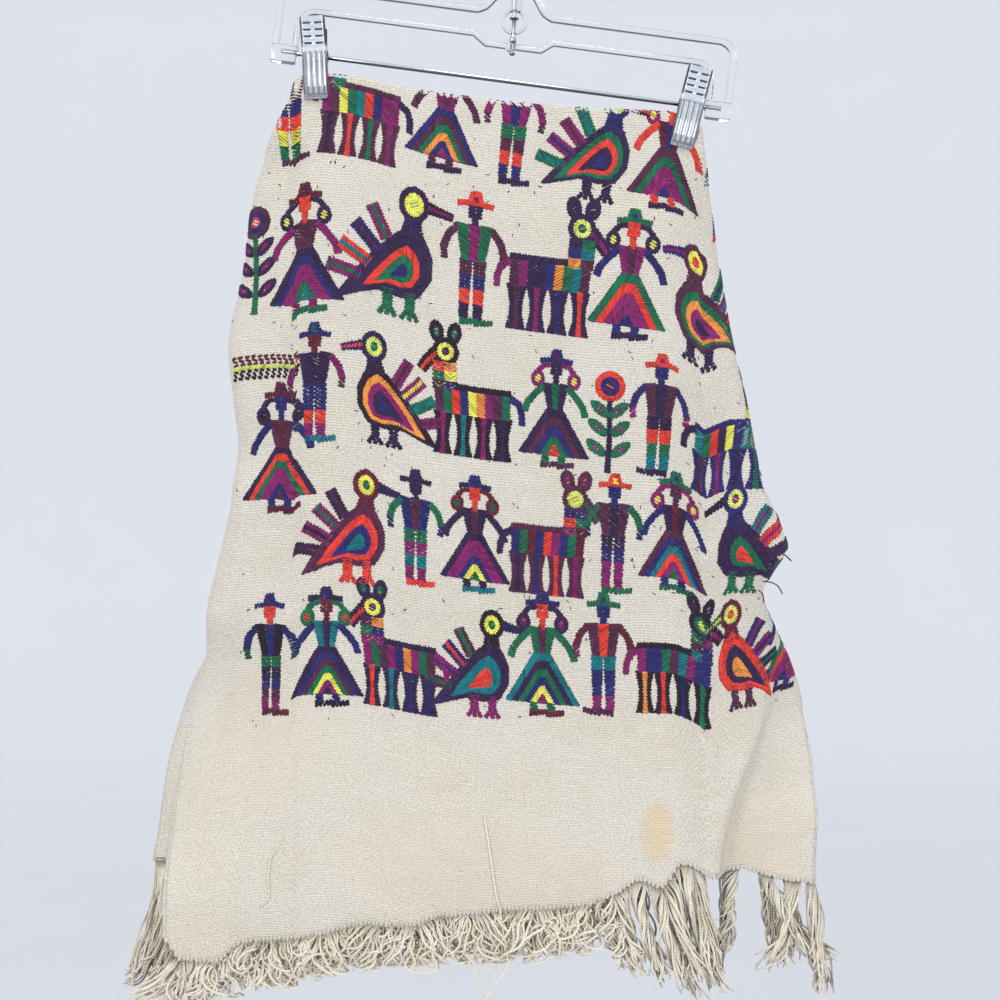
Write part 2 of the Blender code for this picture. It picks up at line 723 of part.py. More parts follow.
def make_plate(name, width, facing, parent, collection, cutters, finish):
    """One jaw of a clip: a bent plate with an ear at each side around the rod."""
    outer = [(d + CLIP_SHEET, h) for d, h in reversed(CLIP_INNER)]
    plate = flat_outline(name + "_web", list(CLIP_INNER) + outer, width, collection)
    stand = Matrix(((0, 0, -facing, 0), (-facing, 0, 0, 0), (0, 1, 0, 0), (0, 0, 0, 1)))
    plate.matrix_world = stand
    plate = as_mesh(plate)
    hole = ((0, ROD_HEIGHT), ROD_HOLE)
    ears = []
    for side in (-1, 1):
        ear = flat_outline(f"{name}_ear_{side}", CLIP_EAR, FLANGE_SHEET, collection, hole)
        place = Matrix.Translation(Vector((side * (width - FLANGE_SHEET) / 2, 0, 0)) * MM)
        ear.matrix_world = place @ stand
        ears.append(as_mesh(ear))
    for piece in [plate] + ears:
        piece.parent = parent
    combine(plate, ears, "UNION", cutters)
    plate.name = name
    plate.data.materials.append(finish)
    return plate


def make_spring(name, parent, collection, cutters, finish):
    """The coil of a clip's spring as a plain sleeve around the rod."""
    turn = Matrix.Rotation(math.radians(90), 4, "Y")
    coil = cylinder(name, SPRING_OUTER, SPRING_LENGTH, turn, collection, 16)
    bore = cylinder(name + "_bore", ROD_RADIUS + GAP, SPRING_LENGTH * 2, turn, collection, 16)
    coil.parent = parent
    bore.parent = parent
    combine(coil, [bore], "DIFFERENCE", cutters)
    coil.data.materials.append(finish)
    return coil


def empty(name, x, drop, turn, collection):
    made = bpy.data.objects.new(name, None)
    collection.objects.link(made)
    made.location = Vector((x, 0, -drop)) * MM
    made.rotation_euler = (0, math.radians(turn), 0)
    return made


def rod_drop(x):
    """Drop of the rod's axis at this x."""
    tilt = math.radians(HANGER_TILT)
    a = (x - HANGER_X - ROD_B * math.sin(tilt)) / math.cos(tilt)
    return HANGER_DROP + a * math.sin(tilt) - ROD_B * math.cos(tilt)


def main():
    for obj in list(bpy.data.objects):
        bpy.data.objects.remove(obj)
    parts = new_collection("embroidered_tapestry")
    cutters = new_collection("cutters", hidden=True)
    cotton = material("cream cotton", (0.80, 0.75, 0.64), 0.95)
    yarn = material("fringe yarn", (0.78, 0.72, 0.61), 0.95)
    clear = material("clear plastic", (0.95, 0.96, 0.97), 0.08, alpha=0.35, transmission=0.9)
    steel = material("bright steel", (0.72, 0.73, 0.75), 0.22, metallic=1.0)
    plated = material("plated steel", (0.66, 0.72, 0.76), 0.32, metallic=1.0)

    make_cloth(parts, cotton)
    make_fringe("fringe_front", "front", FRONT_HANG, parts, yarn, 3)
    make_fringe("fringe_back", "back", BACK_HANG, parts, yarn, 8)

    hanger = empty("hanger_axes", HANGER_X, HANGER_DROP, HANGER_TILT, parts)
    make_frame(hanger, parts, cutters, clear)
    make_rod(hanger, parts, steel)
    hook_axes = empty("hook_axes", HANGER_X, HANGER_DROP, HOOK_LEAN, parts)
    make_hook(hook_axes, parts, cutters, steel)

    for side, x, lean in CLIPS:
        tip = Vector((0, 0, -ROD_HEIGHT))
        tip.rotate(Matrix.Rotation(math.radians(lean), 3, "Y"))
        drop = rod_drop(x)
        clip = empty(f"clip_{side}_axes", x + tip.x, drop - tip.z, lean, parts)
        make_plate(f"clip_{side}_front", CLIP_WIDTH, 1, clip, parts, cutters, plated)
        make_plate(f"clip_{side}_back", BACK_CLIP_WIDTH, -1, clip, parts, cutters, plated)
        coil_axes = empty(f"spring_{side}_axes", x, drop, HANGER_TILT, parts)
        make_spring(f"clip_{side}_spring", coil_axes, parts, cutters, steel)


main()
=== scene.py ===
# %% [markdown]
# # An embroidered tapestry on a clear skirt hanger
# A hand-woven cotton sheet is folded over at its top and clipped to a hanger. The solid
# model gives every size, so it is loaded first and its box is kept. The finer pieces
# below are then made in the same space, in metres, with Z up.
# %% Load the solid model
import math
import random

import bpy
import numpy as np
from mathutils import Matrix, Vector


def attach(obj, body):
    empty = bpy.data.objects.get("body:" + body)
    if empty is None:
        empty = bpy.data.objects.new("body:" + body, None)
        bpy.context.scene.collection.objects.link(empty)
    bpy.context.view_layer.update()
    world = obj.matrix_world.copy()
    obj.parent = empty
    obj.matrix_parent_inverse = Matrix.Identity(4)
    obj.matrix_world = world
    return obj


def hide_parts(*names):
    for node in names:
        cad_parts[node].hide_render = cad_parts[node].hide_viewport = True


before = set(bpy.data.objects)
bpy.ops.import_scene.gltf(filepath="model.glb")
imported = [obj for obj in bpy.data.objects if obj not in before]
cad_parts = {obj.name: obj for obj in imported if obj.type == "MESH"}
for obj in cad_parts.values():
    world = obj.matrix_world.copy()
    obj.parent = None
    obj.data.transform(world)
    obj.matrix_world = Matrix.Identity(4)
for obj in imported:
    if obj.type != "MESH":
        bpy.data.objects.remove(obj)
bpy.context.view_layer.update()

MM = 0.001
print("solid pieces:", sorted(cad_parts))

# %% [markdown]
# ## Camera
# The picture shows the hanging face on from about a metre away. One picture in this
# frame is 763 mm wide at the cloth, so the lens follows from the distance.
# %% Camera
VIEW_WIDTH = 763.0
VIEW_DISTANCE = 1050.0
VIEW_X = -15.0
VIEW_DROP = 434.7
SENSOR = 36.0

lens = bpy.data.cameras.new("camera")
lens.sensor_width = SENSOR
lens.lens = SENSOR * VIEW_DISTANCE / VIEW_WIDTH
camera = bpy.data.objects.new("camera", lens)
camera.location = (VIEW_X * MM, -VIEW_DISTANCE * MM, -VIEW_DROP * MM)
camera.rotation_euler = (math.radians(90), 0, 0)
bpy.context.scene.collection.objects.link(camera)
bpy.context.scene.camera = camera
print("lens", round(lens.lens, 1), "mm")

# %% [markdown]
# ## Small helpers
# An operator works on whatever is selected, so each step starts by selecting one thing.
# %% Helpers for operators
def pick(*pieces):
    """Selects only these pieces and makes the first one active."""
    bpy.ops.object.select_all(action="DESELECT")
    for piece in pieces:
        piece.select_set(True)
    bpy.context.view_layer.objects.active = pieces[0]


def settle(piece):
    """Moves a piece's place into its mesh."""
    pick(piece)
    bpy.ops.object.transform_apply(location=True, rotation=True, scale=True)


def placed(name, data):
    """Puts new data into the scene as a piece."""
    piece = bpy.data.objects.new(name, data)
    bpy.context.scene.collection.objects.link(piece)
    return piece


def made_by(operator, name, matrix=None, **settings):
    """Adds a basic mesh with an operator, names it and stands it where the matrix says."""
    bpy.ops.object.select_all(action="DESELECT")
    operator(**settings)
    piece = bpy.context.active_object
    piece.name = name
    if matrix is not None:
        piece.matrix_world = matrix
        settle(piece)
    return piece


def finish_with(piece, kind, **settings):
    """Adds a modifier with these settings and applies it."""
    step = piece.modifiers.new(kind.lower(), kind)
    for name, value in settings.items():
        setattr(step, name, value)
    pick(piece)
    bpy.ops.object.modifier_apply(modifier=step.name)


def outward(piece):
    """Turns all faces to look outwards."""
    pick(piece)
    bpy.ops.object.mode_set(mode="EDIT")
    bpy.ops.mesh.select_all(action="SELECT")
    bpy.ops.mesh.normals_make_consistent(inside=False)
    bpy.ops.object.mode_set(mode="OBJECT")


def joined(name, pieces):
    """Joins pieces into one under a new name."""
    pick(*pieces)
    bpy.ops.object.join()
    whole = bpy.context.view_layer.objects.active
    whole.name = name
    whole.data.name = name
    return whole


def smooth_under(piece, degrees):
    """Shades a piece smooth, apart from edges sharper than this."""
    pick(piece)
    bpy.ops.object.shade_smooth_by_angle(angle=math.radians(degrees))


def wear(piece, paint):
    """Gives a piece this finish and no other."""
    piece.data.materials.clear()
    piece.data.materials.append(paint.material)


def set_flat(mesh, flat):
    """Fills the UV map named flat from each point's flat place."""
    corners = np.empty(len(mesh.loops), dtype=np.int32)
    mesh.loops.foreach_get("vertex_index", corners)
    mesh.uv_layers["flat"].data.foreach_set("uv", flat[corners].ravel())


def set_marks(piece, name, values):
    """Stores a number at each point of a mesh, for its finish to read."""
    layer = piece.data.attributes.new(name, "FLOAT", "POINT")
    layer.data.foreach_set("value", np.asarray(values, dtype=np.float32))


def facing_of(piece):
    """The directions that a mesh's points face, as rows of x, y and z."""
    normals = np.empty(len(piece.data.vertices) * 3, dtype=np.float32)
    piece.data.vertex_normals.foreach_get("vector", normals)
    return normals.reshape(-1, 3).T


def linear(red, green, blue):
    """Turns a screen colour of 0 to 255 into the light values that shaders use."""
    return tuple((c / 255 / 12.92 if c < 11 else ((c / 255 + 0.055) / 1.055) ** 2.4)
                 for c in (red, green, blue))


# %% [markdown]
# ## Shader maths as Python
# A socket is wrapped so that sums on it read as sums. Each sum adds a Math node.
# %% Socket wrapper
class Level:
    """A value that varies over a surface."""

    def __init__(self, paint, socket):
        self.paint = paint
        self.socket = socket

    def sum_with(self, operation, *others):
        return self.paint.node("ShaderNodeMath", {"operation": operation}, self, *others)

    def __add__(self, other):
        return self.sum_with("ADD", other)

    def __sub__(self, other):
        return self.sum_with("SUBTRACT", other)

    def __mul__(self, other):
        return self.sum_with("MULTIPLY", other)

    def __truediv__(self, other):
        return self.sum_with("DIVIDE", other)

    def __rsub__(self, other):
        return self.paint.node("ShaderNodeMath", {"operation": "SUBTRACT"}, other, self)

    def sine(self):
        return self.sum_with("SINE", 0.0)

    def floor(self):
        return self.sum_with("FLOOR", 0.0)

    def above(self, start, end):
        """0 below start, 1 past end, smooth between."""
        settings = {"interpolation_type": "SMOOTHSTEP"}
        return self.paint.node("ShaderNodeMapRange", settings, self, start, end, 0.0, 1.0)


class Paint:
    """The nodes of one material."""

    def __init__(self, name):
        self.material = bpy.data.materials.new(name)
        self.material.use_nodes = True
        self.tree = self.material.node_tree
        self.shader = self.tree.nodes["Principled BSDF"]

    def set(self, socket, value):
        if isinstance(value, Level):
            self.tree.links.new(value.socket, socket)
        else:
            socket.default_value = value

    def node(self, kind, settings, *values, output=0, **named):
        made = self.tree.nodes.new(kind)
        for name, value in settings.items():
            setattr(made, name, value)
        for socket, value in zip(made.inputs, values):
            self.set(socket, value)
        for name, value in named.items():
            self.set(made.inputs[name.replace("_", " ")], value)
        return Level(self, made.outputs[output])

    def object_place(self):
        return self.node("ShaderNodeTexCoord", {}, output="Object")

    def flat_place(self):
        return self.node("ShaderNodeUVMap", {"uv_map": "flat"})

    def apart(self, vector):
        split = self.node("ShaderNodeSeparateXYZ", {}, vector)
        outputs = split.socket.node.outputs
        return [Level(self, outputs[i]) for i in range(3)]

    def together(self, x, y, z=0.0):
        return self.node("ShaderNodeCombineXYZ", {}, x, y, z)

    def noise(self, place, scale, detail=3.0, roughness=0.5):
        return self.node("ShaderNodeTexNoise", {}, Vector=place, Scale=scale, Detail=detail,
                         Roughness=roughness)

    def mark(self, name):
        """A number that the mesh carries at each point."""
        return self.node("ShaderNodeAttribute", {"attribute_name": name}, output="Fac")

    def blend(self, share, first, second):
        mixed = self.node("ShaderNodeMix", {"data_type": "RGBA"}, output=2)
        inputs = mixed.socket.node.inputs
        self.set(inputs[0], share)
        for socket, colour in ((inputs[6], first), (inputs[7], second)):
            self.set(socket, colour if isinstance(colour, Level) else (*colour, 1.0))
        return mixed

    def look(self, **values):
        for name, value in values.items():
            self.set(self.shader.inputs[name.replace("_", " ")], value)

    def raised(self, height, distance, strength=1.0):
        bump = self.node("ShaderNodeBump", {}, Height=height, Distance=distance, Strength=strength)
        self.set(self.shader.inputs["Normal"], bump)


# %% [markdown]
# ## Where the cloth hangs
# The sheet hangs as two layers from a fold at the top. Both side margins are turned
# behind near the clips and open out towards the hem, where one pleat takes up width.
# The tables are in millimetres and are those of the solid cloth, apart from the slip of the
# back layer and the slight creases, which are only here. They are worked on whole arrays at
# once, so that a hundred thousand points take a second.
# %% Tables of the hanging cloth
CLOTH_WIDTH = 520.0
CLOTH_THICKNESS = 1.5
SELVEDGE_X = -267.0
TOP_FOLD_RADIUS = 1.5
FLAT_Y = -3.2
CREASE_LENGTH = 30.0
TAIL_DROP = 4.0
BACK_SHIFT = 10.0
# Drops at which a place across the sheet is read for its top fold and for its hem
TOP_DROP = 120.0
HEM_DROP = 760.0

# How far the back layer hangs to the left of the front one: drop, distance
BACK_SLIPS = ((100, 0), (480, 0), (530, 8), (600, 19), (648, 22), (700, 19), (760, 17), (800, 17))
# Height of the top fold: x, drop
TOP_LINE = (
    (-170, 113.0), (-156, 111.5), (-131, 112.7), (-71, 124.1),
    (-17, 131.8), (72, 138.6), (112, 140.0), (137, 150.0),
)
# Front hem: x, drop
FRONT_HEM = (
    (-267, 764.0), (-256, 780.0), (-228, 781.5), (-213, 770.0), (-170, 766.0),
    (-110, 755.0), (-84, 756.5), (-62, 749.0), (-12, 745.0), (50, 740.5),
    (74, 729.0), (91, 719.0), (106, 725.0), (122, 708.0), (150, 721.0),
    (171, 718.0), (205, 727.0), (230, 729.0),
)
# Back hem: x, drop
BACK_HEM = ((-277, 712.0), (-228, 714.0), (-91, 725.0), (61, 713.0), (220, 716.0))
# Left margin: drop, outline x, crease x, length turned behind, fold radius, turn
LEFT_MARGIN = (
    (108, -168.5, -135, 93, 3.2, 180), (135, -177.5, -135, 84, 3.2, 180),
    (150, -185.0, -135, 70, 6.0, 172), (176, -196.5, -135, 52, 9.0, 162),
    (206, -205.5, -135, 39, 12.0, 152), (252, -211.0, -135, 31, 15.0, 142),
    (316, -222.5, -135, 22, 16.0, 132), (358, -218.5, -136, 26, 16.0, 130),
    (396, -215.5, -137, 28, 16.0, 127), (430, -219.0, -138, 28, 17.0, 120),
    (469, -227.0, -140, 21, 18.0, 110), (519, -238.0, -145, 13, 20.0, 98),
    (557, -242.0, -150, 9, 22.0, 86), (587, -251.0, -158, 3, 24.0, 66),
    (648, -259.5, -168, 0, 24.0, 44), (690, -264.0, -175, 0, 24.0, 28),
    (740, -267.0, -180, 0, 24.0, 12), (800, -267.0, -180, 0, 24.0, 12),
)
# Right margin: drop, outline x, crease x, length turned behind, fold radius, turn
RIGHT_MARGIN = (
    (136, 137.0, 100, 110, 3.2, 180), (170, 140.0, 100, 107, 3.2, 180),
    (196, 143.0, 98, 96, 7.0, 168), (253, 151.5, 98, 79, 12.0, 156),
    (313, 161.5, 98, 68, 14.0, 148), (360, 172.0, 100, 59, 14.0, 142),
    (419, 183.5, 103, 50, 13.0, 138), (454, 197.0, 106, 40, 11.0, 135),
    (470, 201.5, 108, 37, 11.0, 130), (490, 191.5, 108, 45, 13.0, 124),
    (504, 185.0, 108, 49, 15.0, 120), (522, 189.5, 110, 43, 16.0, 112),
    (540, 198.0, 114, 34, 17.0, 102), (568, 213.0, 124, 18, 18.0, 86),
    (598, 223.0, 138, 6, 20.0, 62), (647, 230.5, 150, 0, 20.0, 18),
    (690, 230.5, 150, 0, 20.0, 5), (730, 228.0, 150, 0, 20.0, 5),
    (800, 228.0, 150, 0, 20.0, 5),
)
# Distance between the two layers: drop below the top fold, distance
LAYER_GAP = ((0, 3), (32, 3), (60, 4), (140, 7), (290, 9), (410, 12), (530, 14), (800, 14))
# Pleat at the lower right: drop, x of its line, cloth taken up, step back
PLEAT = (
    (500, 205, 0, 0), (560, 200, 3, 2), (592, 194, 10, 7), (631, 177, 17, 13),
    (665, 164, 22, 17), (720, 153, 25, 19), (800, 150, 25, 19),
)
PLEAT_WIDTH = 13.0
# Soft folds: x at top, x at bottom, first drop, last drop, width, forward
SOFT_FOLDS = (
    (-8, -14, 560, 800, 16, -2.4), (48, 52, 600, 800, 14, -2.0), (206, 196, 610, 800, 16, -6.0),
    (178, 214, 640, 800, 12, 3.0), (-232, -246, 590, 800, 22, 5.0), (-60, -90, 520, 800, 60, 3.0),
    (96, 108, 560, 790, 30, 4.0), (60, 70, 170, 560, 60, 3.0), (-90, -96, 200, 560, 46, -3.0),
    (128, 150, 200, 520, 26, -3.5), (-178, -196, 250, 520, 18, -2.5),
)
# Slighter creases that only the fine sheet has, in the same columns
SLIGHT_CREASES = (
    (-150, -162, 230, 760, 5, 1.2), (-112, -128, 330, 700, 6, -1.0), (-36, -52, 480, 740, 5, 1.0),
    (20, 12, 500, 745, 7, -1.4), (84, 92, 440, 720, 5, 1.2), (132, 140, 560, 730, 6, -1.4),
    (-206, -222, 440, 770, 8, 1.8), (-236, -250, 640, 780, 5, -1.4), (60, 66, 620, 740, 5, 0.9),
)
# Drops of each side's top fold and hems, which set where the mesh columns fall
SIDE_TOPS = {-1: 115.0, 1: 152.0}
SIDE_HEMS = {"front": {-1: 770.0, 1: 722.0}, "back": {-1: 713.0, 1: 716.0}}
EVEN_FROM = 0.8
RIPPLE_DEPTH = 0.32
NORMAL_STEP = 0.6


# %% Curves through the tables
def smooth(t):
    """Rises from 0 to 1 with level ends."""
    t = np.clip(t, 0.0, 1.0)
    return t * t * (3 - 2 * t)


class Curve:
    """A table whose columns follow the first one on smooth curves without overshoot."""

    def __init__(self, rows):
        table = np.array(rows, float).T
        self.xs = table[0]
        self.columns = []
        for ys in table[1:]:
            steps = np.diff(ys) / np.diff(self.xs)
            left, right = steps[:-1], steps[1:]
            total = np.where(left * right > 0, left + right, 1.0)
            inner = np.where(left * right > 0, 2 * left * right / total, 0.0)
            self.columns.append((ys, np.concatenate([steps[:1], inner, steps[-1:]])))

    def at(self, x):
        x = np.clip(np.asarray(x, float), self.xs[0], self.xs[-1])
        i = np.clip(np.searchsorted(self.xs, x, side="right") - 1, 0, len(self.xs) - 2)
        span = self.xs[i + 1] - self.xs[i]
        t = (x - self.xs[i]) / span
        values = []
        for ys, slopes in self.columns:
            start = (1 + 2 * t) * (1 - t) ** 2 * ys[i] + t * (1 - t) ** 2 * span * slopes[i]
            end = t * t * (3 - 2 * t) * ys[i + 1] + t * t * (t - 1) * span * slopes[i + 1]
            values.append(start + end)
        return values


TOP = Curve(TOP_LINE)
GAPS = Curve(LAYER_GAP)
BACK_SLIP = Curve(BACK_SLIPS)
PLEATS = Curve(PLEAT)
HEMS = {"front": Curve(FRONT_HEM), "back": Curve(BACK_HEM)}
print("top fold at the middle:", TOP.at(0.0)[0].round(1), "mm below the hook")


# %% [markdown]
# A margin is a chain of arcs: a slant that starts at a crease, a straight run, a bend
# around to the back and a flat tail. The slant is solved so that the outline falls where
# its table says.
# %% Margins
def margin_pieces(length, hidden, radius, turn, slant):
    """Lengths and turns of a margin from its crease to its selvedge."""
    bend = radius * (turn - slant)
    run = np.maximum(length - hidden - CREASE_LENGTH - bend, 0.0)
    return ((CREASE_LENGTH, slant), (run, 0.0), (bend, turn - slant), (length, 0.0))


def margin_point(s, pieces):
    """Distance outwards and back, and angle, at a distance s from the crease."""
    out, back, angle = np.zeros_like(s), np.zeros_like(s), np.zeros_like(s)
    for length, turn in pieces:
        part = np.clip(s, 0.0, length)
        step = turn * part / np.where(length > 0, length, 1.0)
        bent = np.abs(step) > 1e-9
        safe = np.where(bent, step, 1.0)
        after = angle + step
        out = out + part * np.where(bent, (np.sin(after) - np.sin(angle)) / safe, np.cos(angle))
        back = back + part * np.where(bent, (np.cos(angle) - np.cos(after)) / safe, np.sin(angle))
        angle = after
        s = s - part
    return out, back, angle


def solved_margin(rows, side, selvedge):
    """Adds to each row the slant that brings the margin's outline to its place."""
    solved = []
    for drop, edge, crease, hidden, radius, turn in rows:
        length = side * (selvedge(drop) - crease)
        wanted = side * (edge - crease)
        turn = math.radians(turn)
        low, high = 0.0, min(1.2, turn)
        stations = np.linspace(0, length, 81)
        for _ in range(30):
            middle = (low + high) / 2
            pieces = margin_pieces(length, hidden, radius, turn, middle)
            reach = margin_point(stations, pieces)[0].max()
            low, high = (middle, high) if reach > wanted else (low, middle)
        solved.append((drop, crease, hidden, radius, turn, low))
    return Curve(solved)


def right_selvedge(drop):
    return SELVEDGE_X + CLOTH_WIDTH - PLEATS.at(drop)[1]


MARGINS = {
    -1: solved_margin(LEFT_MARGIN, -1, lambda drop: SELVEDGE_X),
    1: solved_margin(RIGHT_MARGIN, 1, right_selvedge),
}


# %% Points of the hanging cloth
def relief(x, drop):
    """How far the cloth stands back from its plane because of pleat and soft folds."""
    line, _, step = PLEATS.at(drop)
    back = step * smooth((x - line) / PLEAT_WIDTH + 0.5)
    for x_top, x_bottom, first, last, width, forward in SOFT_FOLDS + SLIGHT_CREASES:
        share = np.clip((drop - first) / (last - first), 0.0, 1.0)
        centre = x_top + (x_bottom - x_top) * share
        back = back - forward * smooth((drop - first) / 60) * np.exp(-((x - centre) / width) ** 2)
    ripple = np.sin(x / 23 + drop / 61) * np.sin(drop / 47 - x / 95)
    ripple = ripple + 0.6 * np.sin(x / 9.5 - drop / 33)
    return back + RIPPLE_DEPTH * ripple * smooth((drop - 190) / 120)


def flat_x(u, drop):
    """Where a point u from the left selvedge lies across, before the margins turn."""
    line, taken, _ = PLEATS.at(drop)
    x = SELVEDGE_X + u
    return x - taken * smooth((x - line - taken / 2) / (PLEAT_WIDTH + taken) + 0.5)


def section(u, drop):
    """Middle of the two layers at this drop: x, y and the direction that faces out."""
    x = flat_x(u, drop)
    y = np.full_like(x, FLAT_Y)
    facing_x, facing_y = np.zeros_like(x), -np.ones_like(x)
    for side in (-1, 1):
        crease, hidden, radius, turn, slant = MARGINS[side].at(drop)
        selvedge = SELVEDGE_X if side < 0 else right_selvedge(drop)
        beyond = side * (x - crease)
        pieces = margin_pieces(side * (selvedge - crease), hidden, radius, turn, slant)
        out, back, angle = margin_point(np.maximum(beyond, 0.0), pieces)
        turned = beyond > 0
        x = np.where(turned, crease + side * out, x)
        y = np.where(turned, FLAT_Y + back, y)
        facing_x = np.where(turned, side * np.sin(angle), facing_x)
        facing_y = np.where(turned, -np.cos(angle), facing_y)
    depth = relief(x, drop) * np.maximum(-facing_y, 0.0)
    return x - facing_x * depth, y - facing_y * depth, facing_x, facing_y


def top_drop(u):
    """Drop of the top fold; a margin turned behind stays a little lower than the front."""
    level = TOP.at(flat_x(u, np.full_like(u, TOP_DROP)))[0]
    x, y, _, _ = section(u, level)
    return TOP.at(x)[0] + TAIL_DROP * smooth((y - FLAT_Y) / 5.0)


FOLD_LENGTH = math.pi * TOP_FOLD_RADIUS


def hem_length(u, layer):
    """Length of a layer from the top fold to its hem."""
    shift = BACK_SHIFT if layer == "back" else 0.0
    hem = HEMS[layer].at(flat_x(u, np.full_like(u, HEM_DROP)) - shift)[0]
    return hem - top_drop(u) - TOP_FOLD_RADIUS


def cloth_middle(u, w):
    """Places on the sheet's middle: w is the length below the top fold, negative behind it."""
    top = top_drop(u) + TOP_FOLD_RADIUS
    behind = w < -FOLD_LENGTH
    over = (w < 0) & ~behind
    drop = top + np.where(behind, -w - FOLD_LENGTH, np.maximum(w, 0.0))
    x, y, facing_x, facing_y = section(u, drop)
    turn = np.clip(-w, 0.0, FOLD_LENGTH) / TOP_FOLD_RADIUS
    half = np.where(over, TOP_FOLD_RADIUS * np.cos(turn), GAPS.at(drop - top)[0] / 2)
    half = np.where(behind, -half, half)
    x = x + facing_x * half - np.where(behind, BACK_SLIP.at(drop)[0], 0.0)
    z = -drop + np.where(over, TOP_FOLD_RADIUS * np.sin(turn), 0.0)
    return np.stack([x, y + facing_y * half, z], axis=-1)


def cloth_surface(u, w, height=0.0):
    """Places at a height off the outer face of the sheet."""
    across = cloth_middle(u + NORMAL_STEP, w) - cloth_middle(u - NORMAL_STEP, w)
    upward = cloth_middle(u, w - NORMAL_STEP) - cloth_middle(u, w + NORMAL_STEP)
    normal = np.cross(across, upward)
    normal /= np.linalg.norm(normal, axis=-1, keepdims=True)
    return cloth_middle(u, w) + normal * (CLOTH_THICKNESS / 2 + np.asarray(height))[..., None]


middle_u = np.array([CLOTH_WIDTH / 2])
FLAT_LENGTH = float(sum(hem_length(middle_u, layer)[0] for layer in ("front", "back")) + FOLD_LENGTH)
print("cut length of the cloth:", round(FLAT_LENGTH), "mm")

# %% [markdown]
# ## The woven sheet
# A grid gives the rows and columns. Its points are then moved to the hanging shape,
# with more columns where the margins bend. Solidify gives the cloth its thickness. A UV
# map in flat millimetres lets the weave follow every fold.
# %% Cloth mesh
TAIL_CELLS, BEND_CELLS, RUN_CELLS, MIDDLE_CELLS = 6, 15, 9, 62
FRONT_CELLS, FOLD_CELLS, BACK_CELLS = 150, 8, 140
UV_SPAN = 1400.0
UV_START = 700.0


def column_places(share, layer):
    """Distances from the left selvedge of the mesh columns, this share of the way down."""
    spans = []
    for side in (-1, 1):
        top, hem = SIDE_TOPS[side], SIDE_HEMS[layer][side]
        drop = top + share * (hem - top)
        crease, hidden, radius, turn, slant = MARGINS[side].at(drop)
        selvedge = SELVEDGE_X if side < 0 else right_selvedge(drop)
        length = side * (selvedge - crease)
        tail = min(max(hidden, 16.0), length * 0.8)
        bend = min(max(radius * (turn - slant), 9.0 + 30.0 * share), length - tail - 12.0)
        spans.append(np.array([0.0, tail, tail + bend, length]))
    stops = np.concatenate([spans[0], CLOTH_WIDTH - spans[1][::-1]])
    cells = (TAIL_CELLS, BEND_CELLS, RUN_CELLS, MIDDLE_CELLS, RUN_CELLS, BEND_CELLS, TAIL_CELLS)
    marks = np.concatenate([[0], np.cumsum(cells)])
    places = np.interp(np.arange(marks[-1] + 1), marks, stops)
    even = np.linspace(0.0, CLOTH_WIDTH, marks[-1] + 1)
    return places + (even - places) * smooth((share - EVEN_FROM) / (1 - EVEN_FROM))


def cloth_grid():
    """Flat places of the mesh, row by row from the front hem to the back hem."""
    rows = []
    for share in np.linspace(1.0, 0.0, FRONT_CELLS + 1):
        u = column_places(share, "front")
        rows.append((u, hem_length(u, "front") * share))
    for step in range(1, FOLD_CELLS):
        u = column_places(0.0, "front")
        rows.append((u, np.full_like(u, -FOLD_LENGTH * step / FOLD_CELLS)))
    for share in np.linspace(0.0, 1.0, BACK_CELLS + 1):
        u = column_places(share, "back")
        rows.append((u, -FOLD_LENGTH - 1e-6 - hem_length(u, "back") * share))
    return np.array([row[0] for row in rows]), np.array([row[1] for row in rows])


grid_u, grid_w = cloth_grid()
row_count, column_count = grid_u.shape
cloth = made_by(bpy.ops.mesh.primitive_grid_add, "woven_cloth", size=1.0,
                x_subdivisions=column_count - 1, y_subdivisions=row_count - 1)
cloth.data.name = "woven_cloth"
places = cloth_middle(grid_u.ravel(), grid_w.ravel()) * MM
cloth.data.vertices.foreach_set("co", places.ravel())
flat = np.stack([grid_u.ravel() / UV_SPAN, (grid_w.ravel() + UV_START) / UV_SPAN], axis=-1)
cloth.data.uv_layers[0].name = "flat"
set_flat(cloth.data, flat)
cloth.data.update()
finish_with(cloth, "SOLIDIFY", thickness=CLOTH_THICKNESS * MM, offset=0.0, use_even_offset=True)
pick(cloth)
bpy.ops.object.shade_smooth()
print("cloth:", len(cloth.data.polygons), "faces")

# %% [markdown]
# ## The look of the cloth
# Thick weft yarns lie in rows two millimetres apart over finer warp yarns. The rows and
# the crossings are waves on the flat map, bent a little by noise as hand weaving is.
# Painted shade darkens the grooves between rows, broken into dashes and weaker in the
# plain lower band, and the dips between warp yarns. Noise also gives the uneven cream, and
# a few soft marks show its age.
# %% Cloth finish
CREAM = linear(229, 222, 210)
CREAM_WARM = linear(224, 214, 197)
CREAM_SHADE = linear(162, 152, 136)
ROW_PITCH = 2.0
WARP_PITCH = 1.45
# Soft marks: u, w, radius across, radius down, colour, strength
MARKS = (
    (370.0, 543.0, 14.0, 25.0, linear(226, 196, 148), 0.55),
    (128.0, 163.0, 4.0, 3.0, linear(238, 158, 98), 0.7),
    (78.0, 500.0, 70.0, 60.0, linear(222, 210, 190), 0.35),
    (240.0, 590.0, 120.0, 46.0, linear(226, 209, 190), 0.4),
    (470.0, 560.0, 44.0, 60.0, linear(226, 210, 186), 0.45),
)

